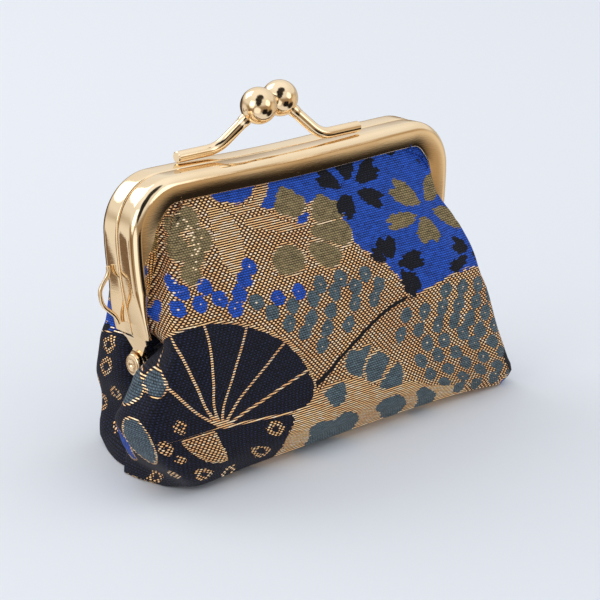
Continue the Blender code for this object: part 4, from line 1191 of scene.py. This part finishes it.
def brocade_material(name, colours):
    """Brocade: a dark ground with floats of gold thread, and ribbed fields and motifs of coloured silk."""
    material, tree, shader = new_material(name, Sheen_Weight=0.04, Specular_IOR_Level=0.22)
    u, v = cloth_coordinates(tree)
    row = (v / WEFT_PITCH).floor()
    within = (v / WEFT_PITCH).fraction() - 0.5
    cell = (u / FLOAT_PITCH + row * 0.5).floor()
    across = (u / FLOAT_PITCH + row * 0.5).fraction() - 0.5
    at_cell = tree.joined(cell, row)
    chance = tree.add("ShaderNodeTexWhiteNoise", {"noise_dimensions": "2D"}, {"Vector": at_cell})
    by_row = tree.add("ShaderNodeTexWhiteNoise", {"noise_dimensions": "1D"}, {"W": row})
    ragged = (chance - 0.5) * RAGGED_FLOATS + (by_row - 0.5) * RAGGED_ROWS

    blue, black, lines = cloth_layers(tree, "fields")
    olive, night, teal = cloth_layers(tree, "motifs")
    rib, rings, curve = cloth_layers(tree, "threads")
    blue_dots, teal_dots, sparse = cloth_layers(tree, "dots")
    speck_u, speck_v, _ = cloth_layers(tree, "specks")

    def inside(distance):
        return (distance + ragged).step(SOFT_EDGE, -SOFT_EDGE)

    def rim(distance):
        return distance.step(OUTLINE_WIDTH, OUTLINE_WIDTH - 0.1) * (1.0 - inside(distance))

    in_blue, in_black, in_curve = inside(blue), inside(black), curve.step(0.10, 0.0)
    in_olive, in_night, in_teal = inside(olive), inside(night), inside(teal)
    dot_blue = (blue_dots + ragged * 2.0).step(-2.0 * SOFT_EDGE, 2.0 * SOFT_EDGE)
    dot_teal = (teal_dots + ragged * 2.0).step(-2.0 * SOFT_EDGE, 2.0 * SOFT_EDGE)
    speck = (speck_u * speck_u + speck_v * speck_v).step(0.12, 0.04) * dot_blue.higher(dot_teal)
    speck = speck * chance.step(0.5, 0.54)
    on_black = in_black * (1.0 - inside(rings) * rings.step(-RING_WIDTH - 0.1, -RING_WIDTH + 0.1))
    rib_line = rib.size().step(RIB_HALF_WIDTH, RIB_HALF_WIDTH - 0.08) * on_black
    fan_edge = black.step(FAN_EDGE_WIDTH + 0.05, FAN_EDGE_WIDTH - 0.05) * (1.0 - black.step(0.06, -0.02))
    edges = rim(olive) + rim(teal) + blue.step(0.4, 0.3)
    outline = (edges * (1.0 - in_blue) + fan_edge * (1.0 - in_blue)).lower(1.0)

    # Threads: domed floats of gold, ribs of silk
    dome = (1.0 - within * within * 5.6).higher(0.0)
    narrow = (1.0 - within * within * 11.0).higher(0.0)
    float_dot = (1.0 - across * across * 7.4 - within * within * 4.8).higher(0.0)
    long_float = narrow * (0.85 + 0.15 * (u * (math.tau / LONG_FLOAT_PITCH) + row * 2.1).sine())
    long = inside(lines).higher(outline).higher(rib_line)
    thread = float_dot + (long_float - float_dot) * long
    gold = thread.step(0.17, 0.47)
    motif = in_teal.higher(in_olive).higher(in_night)
    cover = on_black.higher(in_blue).higher(motif).higher(dot_blue).higher(dot_teal).higher(in_curve)
    cover = cover * (1.0 - outline * (1.0 - in_teal) * (1.0 - in_olive) * (1.0 - in_night)) * (1.0 - speck)
    cover = cover * (1.0 - inside(sparse) * chance.step(0.66, 0.68))
    gold = (gold * (1.0 - cover)).higher(rib_line * dome.step(0.35, 0.65) * (1.0 - in_teal))

    fibre_place = tree.joined(u * 1.3, v * 7.0)
    fibre = tree.noise(fibre_place, 1.0, 2.0)
    twill = ((u + v * 0.55) * (math.tau / TWILL_PITCH) + row * math.pi).sine()
    patchy = tree.noise(fibre_place, 0.45, 3.0)
    beside = (u / PICK_PITCH + row / 3.0).fraction() - 0.5
    pick = (dome * (1.0 - beside * beside * 3.6)).higher(0.0)
    worn = 0.8 * (fibre - 0.5) + 0.7 * (patchy - 0.5) + 0.3 * (chance - 0.5)
    shade = SILK_SHADOW + SILK_LIGHT * pick + worn
    silk = tree.colours(in_black.higher(in_curve), paint(colours["ground"]), paint(colours["black"]))
    silk = tree.colours(in_blue, silk, paint(colours["blue"]))
    silk = tree.colours(in_teal.higher(dot_teal), silk, paint(colours["teal"]))
    silk = tree.colours(in_olive, silk, paint(colours["olive"]))
    silk = tree.colours(dot_blue, silk, paint(colours["blue"]))
    silk = tree.colours(in_night.higher(in_curve), silk, paint(colours["black"]))
    flecks = (fibre + 0.25 * twill).step(0.5, 0.8) * (0.6 * on_black).higher(0.22 * in_night)
    silk = tree.colours(flecks, silk, paint(colours["fleck"]))
    silk = tree.dimmed(silk, shade)
    # A few gold floats at random get the paler colour: a painted glint, as if those floats caught the light
    glinting_gold = tree.colours(chance ** 2.5, paint(colours["gold"]), paint(colours["pale_gold"]))
    # Wide slow patches where the gold thread is painted brighter or darker: painted reflection, standing in
    # for the light and dark parts of the room that the gold reflects
    areas = tree.noise(tree.joined(u, v), 0.07, 1.0)
    lit = (GOLD_SHADOW + GOLD_LIGHT * thread) * (0.55 + 0.9 * areas)
    colour = tree.colours(gold, silk, tree.dimmed(glinting_gold, lit))

    height = thread * gold + (1.0 - gold) * cover * (0.55 * pick + 0.08 * twill)
    normal = tree.bump(height, 0.00016, 0.75)
    rough = 0.8 - 0.42 * gold - 0.1 * dome
    tree.fill(shader, {"Base Color": colour, "Metallic": gold * 0.6, "Roughness": rough, "Normal": normal})
    return material


def lining_material(name, colour):
    """Plain black lining: a fine even weave, with painted shade in the dips between its threads."""
    material, tree, shader = new_material(name, Sheen_Weight=0.2, Sheen_Roughness=0.4)
    u, v = cloth_coordinates(tree)
    warp = (u * (math.tau / LINING_PITCH)).sine()
    weft = (v * (math.tau / LINING_PITCH)).sine()
    weave = warp * weft
    # Where the weave dips the colour falls to 0.6 of itself: painted shade between the threads
    tone = tree.colours(weave.step(-0.8, 0.8), paint(tuple(0.6 * c for c in colour)), paint(colour))
    normal = tree.bump(weave, 0.0001, 0.5)
    tree.fill(shader, {"Base Color": tone, "Roughness": 0.78 + 0.1 * weave, "Normal": normal})
    return material


def paper_material(name, colour):
    """Natural paper with darker fibres."""
    material, tree, shader = new_material(name)
    place = tree.add("ShaderNodeTexCoord", {}, {}, output="Object")
    fibre = tree.noise(place, 900.0, 4.0)
    tone = tree.colours(fibre.step(0.35, 0.7), paint(tuple(0.8 * c for c in colour)), paint(colour))
    normal = tree.bump(fibre, 0.0001, 0.4)
    tree.fill(shader, {"Base Color": tone, "Roughness": 0.8 + 0.15 * fibre, "Normal": normal})
    return material


# Settings


class PURSE_PG_metal(bpy.types.PropertyGroup):
    plating: bpy.props.FloatVectorProperty(
        name="Plating", description="Colour of the gold plating on the frame, clasp, rivets and chain bow",
        subtype="COLOR", size=3, min=0.0, max=1.0, default=(0.95, 0.78, 0.55))
    roughness: bpy.props.FloatProperty(
        name="Roughness", description="How blurred the plating's reflections are", default=0.085, min=0.02,
        max=0.6)


def thread_colour(name, colour):
    """Setting for the colour of one of the brocade's threads."""
    return bpy.props.FloatVectorProperty(name=name, description="Colour of the " + name.lower() + " thread",
                                         subtype="COLOR", size=3, min=0.0, max=1.0, default=colour)


class PURSE_PG_cloth(bpy.types.PropertyGroup):
    ground: thread_colour("Ground", (0.070, 0.026, 0.013))
    gold: thread_colour("Gold", (0.96, 0.45, 0.20))
    # Painted glint: the paler colour that a few gold floats get at random, as if they caught the light
    pale_gold: thread_colour("Pale gold", (1.0, 0.71, 0.48))
    blue: thread_colour("Blue", (0.020, 0.098, 0.56))
    black: thread_colour("Black", (0.006, 0.007, 0.013))
    fleck: thread_colour("Fleck", (0.025, 0.035, 0.12))
    olive: thread_colour("Olive", (0.32, 0.235, 0.108))
    teal: thread_colour("Teal", (0.118, 0.165, 0.188))
    lining: bpy.props.FloatVectorProperty(
        name="Lining", description="Colour of the lining cloth", subtype="COLOR", size=3, min=0.0, max=1.0,
        default=(0.012, 0.012, 0.018))
    paper: bpy.props.FloatVectorProperty(
        name="Paper cord", description="Colour of the paper cord in the channels", subtype="COLOR", size=3,
        min=0.0, max=1.0, default=(0.62, 0.50, 0.34))
    folds: bpy.props.FloatProperty(
        name="Folds", description="Strength of the soft folds in the pouch", default=1.0, min=0.0, max=2.0)


class PURSE_PG_stage(bpy.types.PropertyGroup):
    floor: bpy.props.FloatVectorProperty(
        name="Floor", description="Colour of the pale floor", subtype="COLOR", size=3, min=0.0, max=1.0,
        default=(0.83, 0.84, 0.87))
    sky: bpy.props.FloatVectorProperty(
        name="Sky", description="Colour of the even light all round", subtype="COLOR", size=3, min=0.0,
        max=1.0, default=(0.91, 0.95, 1.0))
    ambient: bpy.props.FloatProperty(
        name="Ambient", description="Strength of the even light all round", default=0.92, min=0.0, max=3.0)
    key: bpy.props.FloatProperty(
        name="Key light", description="Power of the light above and behind", default=1.25, min=0.0, max=50.0,
        subtype="POWER", unit="POWER")
    fill: bpy.props.FloatProperty(
        name="Fill light", description="Power of the light from the front left", default=0.7, min=0.0,
        max=50.0, subtype="POWER", unit="POWER")
    lens: bpy.props.FloatProperty(
        name="Lens", description="Focal length of the camera", default=0.120, min=0.02, max=0.3,
        subtype="DISTANCE", unit="CAMERA")


def shared_gold(name="turned_gold", waviness=0.0):
    """The plating: wavy on the pressed frame and true on turned and drawn pieces."""
    found = bpy.data.materials.get(name)
    metal = bpy.context.scene.purse_metal
    return found or gold_material(name, tuple(metal.plating), metal.roughness, waviness)


# Columns of each cloth's grid in the channel, on the flank and on the face, and its rows
BROCADE_COUNTS = {FRONT: (6, 34, 150), BACK: (6, 34, 140)}
BROCADE_ROWS = 84
LINING_COUNTS = (3, 16, 56)
LINING_ROWS = 40


class PURSE_OT_frame(bpy.types.Operator):
    """Build the two channel halves of the frame"""
    bl_idname = "purse.frame"
    bl_label = "Frame halves"

    def execute(self, context):
        for side, word in ((FRONT, "front"), (BACK, "back")):
            piece = build_channel(word + "_channel", side, shared_gold("pressed_gold", 1.0))
            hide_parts(word + "_frame")
            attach(piece, word + "_jaw")
        return {"FINISHED"}


class PURSE_OT_rivets(bpy.types.Operator):
    """Build the two rivets of the hinges"""
    bl_idname = "purse.rivets"
    bl_label = "Rivets"

    def execute(self, context):
        for hand, word in ((-1, "left"), (1, "right")):
            piece = build_rivet(word + "_hinge_rivet", hand, shared_gold())
            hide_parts(word + "_rivet")
            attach(piece, "pouch")
        return {"FINISHED"}


class PURSE_OT_clasp(bpy.types.Operator):
    """Build the bent rods and balls of the kiss lock"""
    bl_idname = "purse.clasp"
    bl_label = "Kiss lock"

    def execute(self, context):
        for side, word in ((FRONT, "front"), (BACK, "back")):
            pieces = build_clasp(side, word + "_clasp_rod", word + "_clasp_bead", shared_gold())
            for piece, node in zip(pieces, ("_clasp_arm", "_clasp_ball")):
                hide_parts(word + node)
                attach(piece, word + "_jaw")
        return {"FINISHED"}


class PURSE_OT_chain_bow(bpy.types.Operator):
    """Build the wire bow that takes a chain"""
    bl_idname = "purse.chain_bow"
    bl_label = "Chain bow"

    def execute(self, context):
        piece = build_chain_bow("chain_bow", shared_gold())
        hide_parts("chain_loop")
        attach(piece, "back_jaw")
        return {"FINISHED"}


class PURSE_OT_pouch(bpy.types.Operator):
    """Build the brocade panels of the pouch"""
    bl_idname = "purse.pouch"
    bl_label = "Brocade pouch"

    def execute(self, context):
        cloth = context.scene.purse_cloth
        threads = ("ground", "gold", "pale_gold", "blue", "black", "fleck", "olive", "teal")
        colours = {thread: tuple(getattr(cloth, thread)) for thread in threads}
        material = brocade_material("brocade_weave", colours)
        for side, word in ((FRONT, "front"), (BACK, "back")):
            piece = build_cloth(word + "_brocade", side, 0.0, PANEL_THICKNESS, 0.0, BROCADE_COUNTS[side],
                                BROCADE_ROWS, cloth.folds, material)
            weave_pattern(piece.data, cloth_places(piece.data), side)
            finish_cloth(piece, "outer_" + word + "_panel")
        return {"FINISHED"}


class PURSE_OT_lining(bpy.types.Operator):
    """Build the two halves of the lining"""
    bl_idname = "purse.lining"
    bl_label = "Lining"

    def execute(self, context):
        cloth = context.scene.purse_cloth
        material = lining_material("lining_weave", tuple(cloth.lining))
        for side, word in ((FRONT, "front"), (BACK, "back")):
            piece = build_cloth(word + "_lining", side, PANEL_THICKNESS + CLEARANCE, LINING_THICKNESS,
                                LINING_EASE, LINING_COUNTS, LINING_ROWS, cloth.folds, material)
            finish_cloth(piece, word + "_lining_panel")
        return {"FINISHED"}


class PURSE_OT_paper_cords(bpy.types.Operator):
    """Build the twisted paper cords that hold the cloth in the channels"""
    bl_idname = "purse.paper_cords"
    bl_label = "Paper cords"

    def execute(self, context):
        material = paper_material("twisted_paper", tuple(context.scene.purse_cloth.paper))
        for side, word in ((FRONT, "front"), (BACK, "back")):
            piece = build_paper_cord(word + "_twisted_cord", side, material)
            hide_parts(word + "_paper_cord")
            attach(piece, word + "_jaw")
        return {"FINISHED"}


def cloth_places(mesh):
    """(across, up) of every vertex of a cloth, in millimetres."""
    place = np.zeros(len(mesh.vertices) * 3, np.float32)
    mesh.attributes["cloth_place"].data.foreach_get("vector", place)
    return place.reshape(-1, 3)[:, :2]


def finish_cloth(piece, node):
    """Give a cloth its map, hide the solid it stands in for and bake its placing into its mesh."""
    mesh = piece.data
    place = cloth_places(mesh)
    corners = np.zeros(len(mesh.loops), np.int32)
    mesh.loops.foreach_get("vertex_index", corners)
    layer = mesh.uv_layers.new(name="cloth")
    layer.data.foreach_set("uv", (place[corners] / MAP_SIZE).astype(np.float32).ravel())
    mesh.attributes.remove(mesh.attributes["cloth_place"])
    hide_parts(node)
    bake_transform(piece)


# The stage, in metres and degrees
CAMERA_TURN = 41.33
CAMERA_RISE = 18.48
CAMERA_ROLL = -0.55
CAMERA_PLACE = (-0.24247, -0.27994, 0.14828)
SENSOR_WIDTH = 36.0
FLOOR_HALF_WIDTH = 3.0
FLOOR_HEIGHT = -0.0002
LIGHT_SIZE = 0.50
LIGHT_AIM = (0.0, 0.0, 0.03)
LIGHT_PLACES = {"key": (-0.20, 0.62, 0.66), "fill": (-0.86, -0.12, 0.42)}


def plan_camera(context):
    """Camera at the photograph's angle, in the purse's own frame."""
    turn, rise, roll = math.radians(CAMERA_TURN), math.radians(CAMERA_RISE), math.radians(CAMERA_ROLL)
    ahead = Vector((math.sin(turn) * math.cos(rise), math.cos(turn) * math.cos(rise), -math.sin(rise)))
    right = Vector((math.cos(turn), -math.sin(turn), 0))
    up = right.cross(ahead)
    right, up = right * math.cos(roll) + up * math.sin(roll), up * math.cos(roll) - right * math.sin(roll)
    data = bpy.data.cameras.new("studio_camera")
    data.lens = context.scene.purse_stage.lens * 1000
    data.sensor_width = SENSOR_WIDTH
    data.clip_start = 0.01
    camera = bpy.data.objects.new("studio_camera", data)
    place = Matrix((right, up, -ahead)).transposed().to_4x4()
    camera.matrix_world = Matrix.Translation(CAMERA_PLACE) @ place
    bpy.context.collection.objects.link(camera)
    context.scene.camera = camera


def build_floor(colour):
    """Pale floor that takes the shadow; the metal sees the studio round it instead."""
    shape = bmesh.new()
    bmesh.ops.create_grid(shape, x_segments=4, y_segments=4, size=FLOOR_HALF_WIDTH)
    mesh = bpy.data.meshes.new("floor")
    shape.to_mesh(mesh)
    shape.free()
    floor = bpy.data.objects.new("floor", mesh)
    bpy.context.collection.objects.link(floor)
    floor.location.z = FLOOR_HEIGHT
    material, tree, shader = new_material("studio_floor", Roughness=0.9, Base_Color=paint(colour))
    glossy = tree.add("ShaderNodeLightPath", {}, {}, output="Is Glossy Ray")
    clear = tree.add("ShaderNodeBsdfTransparent", {}, {})
    surface = tree.add("ShaderNodeMixShader", {}, {0: glossy, 1: Wire(tree, shader.outputs[0]), 2: clear})
    tree.links.new(surface.socket, tree.nodes["Material Output"].inputs["Surface"])
    mesh.materials.append(material)


# What polished metal sees: direction, full within degrees, gone by degrees, colour; later ones lie on top
STUDIO = [
    ((0.66, -0.75, -0.10), 12, 34, (0.46, 0.32, 0.18)),
    ((0.86, -0.45, -0.22), 12, 26, (0.78, 0.66, 0.50)),
    ((0.53, -0.635, -0.56), 12, 22, (0.022, 0.016, 0.012)),
    ((0.02, -0.88, -0.45), 14, 21, (0.012, 0.011, 0.012)),
    ((-0.71, -0.63, -0.30), 15, 24, (1.15, 1.15, 1.12)),
    ((-0.93, 0.08, -0.36), 5, 13, (0.22, 0.12, 0.05)),
    ((-0.62, 0.71, -0.30), 14, 30, (0.86, 0.82, 0.76)),
    ((-0.78, 0.54, -0.32), 3, 7, (0.30, 0.19, 0.10)),
    ((-0.46, 0.83, -0.32), 3, 7, (0.20, 0.13, 0.08)),
    ((0.95, 0.20, -0.20), 12, 30, (0.62, 0.56, 0.48)),
    ((0.10, 0.98, -0.15), 10, 26, (0.06, 0.045, 0.035)),
    ((-0.60, -0.68, 0.42), 13, 20, (0.035, 0.030, 0.026)),
    ((-0.42, -0.58, 0.70), 16, 24, (0.020, 0.020, 0.020)),
    ((-0.12, -0.45, 0.88), 14, 23, (0.035, 0.030, 0.026)),
    ((0.40, -0.86, 0.32), 11, 18, (1.6, 1.6, 1.55)),
    ((-0.97, -0.12, 0.22), 12, 22, (1.3, 1.3, 1.26)),
]


def build_surroundings(scene, sky, ambient):
    """Even soft light for cloth and floor, and a studio of light and dark areas for the metal to reflect."""
    world = bpy.data.worlds.new("studio")
    scene.world = world
    tree = Tree(world)
    way = tree.add("ShaderNodeTexCoord", {}, {}, output="Generated")
    rise = tree.split(way)[2]
    seen = tree.colours(rise.step(-0.75, -0.35), paint((0.86, 0.85, 0.84)), paint((0.34, 0.25, 0.16)))
    seen = tree.colours(rise.step(0.0, 0.34), seen, paint((0.88, 0.86, 0.82)))
    seen = tree.colours(rise.step(0.5, 0.95), seen, paint((1.05, 1.05, 1.05)))
    uneven = tree.noise(way, 3.2, 1.0) - 0.5
    for direction, full, gone, colour in STUDIO:
        facing = tree.add("ShaderNodeVectorMath", {"operation": "DOT_PRODUCT"},
                          {0: way, 1: Vector(direction).normalized()}, output="Value")
        lobe = (facing + 0.07 * uneven).step(math.cos(math.radians(gone)), math.cos(math.radians(full)))
        seen = tree.colours(lobe, seen, paint(colour))
    glossy = tree.add("ShaderNodeLightPath", {}, {}, output="Is Glossy Ray")
    soft = tree.nodes["Background"]
    tree.fill(soft, {"Color": paint(sky), "Strength": ambient})
    studio = tree.add("ShaderNodeBackground", {}, {"Color": seen, "Strength": 1.0})
    both = tree.add("ShaderNodeMixShader", {}, {0: glossy, 1: Wire(tree, soft.outputs[0]), 2: studio})
    tree.links.new(both.socket, tree.nodes["World Output"].inputs["Surface"])


class PURSE_OT_stage(bpy.types.Operator):
    """Build the floor, the soft studio light and the camera"""
    bl_idname = "purse.stage"
    bl_label = "Stage"

    def execute(self, context):
        settings = context.scene.purse_stage
        build_floor(tuple(settings.floor))
        build_surroundings(context.scene, tuple(settings.sky), settings.ambient)
        for name, place in LIGHT_PLACES.items():
            data = bpy.data.lights.new(name, "AREA")
            data.size = LIGHT_SIZE
            data.energy = getattr(settings, name)
            light = bpy.data.objects.new(name, data)
            light.location = place
            light.rotation_euler = (Vector(LIGHT_AIM) - Vector(place)).to_track_quat("-Z", "Y").to_euler()
            bpy.context.collection.objects.link(light)
        plan_camera(context)
        context.scene.view_settings.view_transform = "Standard"
        return {"FINISHED"}


STEPS = (PURSE_OT_frame, PURSE_OT_rivets, PURSE_OT_clasp, PURSE_OT_chain_bow, PURSE_OT_pouch, PURSE_OT_lining,
         PURSE_OT_paper_cords, PURSE_OT_stage)


class PURSE_PT_panel(bpy.types.Panel):
    """Lists the pieces of the purse"""
    bl_label = "Clasp purse"
    bl_idname = "PURSE_PT_panel"
    bl_space_type = "VIEW_3D"
    bl_region_type = "UI"
    bl_category = "Clasp purse"

    def draw(self, context):
        scene = context.scene
        for group in (scene.purse_metal, scene.purse_cloth, scene.purse_stage):
            column = self.layout.column()
            for name in group.__annotations__:
                column.prop(group, name)
        for step in STEPS:
            self.layout.operator(step.bl_idname)


CLASSES = (PURSE_PG_metal, PURSE_PG_cloth, PURSE_PG_stage) + STEPS + (PURSE_PT_panel,)


def register():
    for entry in CLASSES:
        bpy.utils.register_class(entry)
    bpy.types.Scene.purse_metal = bpy.props.PointerProperty(type=PURSE_PG_metal)
    bpy.types.Scene.purse_cloth = bpy.props.PointerProperty(type=PURSE_PG_cloth)
    bpy.types.Scene.purse_stage = bpy.props.PointerProperty(type=PURSE_PG_stage)


def unregister():
    del bpy.types.Scene.purse_stage
    del bpy.types.Scene.purse_cloth
    del bpy.types.Scene.purse_metal
    for entry in reversed(CLASSES):
        bpy.utils.unregister_class(entry)


def main():
    register()
    bpy.ops.purse.frame()
    bpy.ops.purse.rivets()
    bpy.ops.purse.clasp()
    bpy.ops.purse.chain_bow()
    bpy.ops.purse.pouch()
    bpy.ops.purse.lining()
    bpy.ops.purse.paper_cords()
    bpy.ops.purse.stage()


if __name__ == "__main__":
    main()
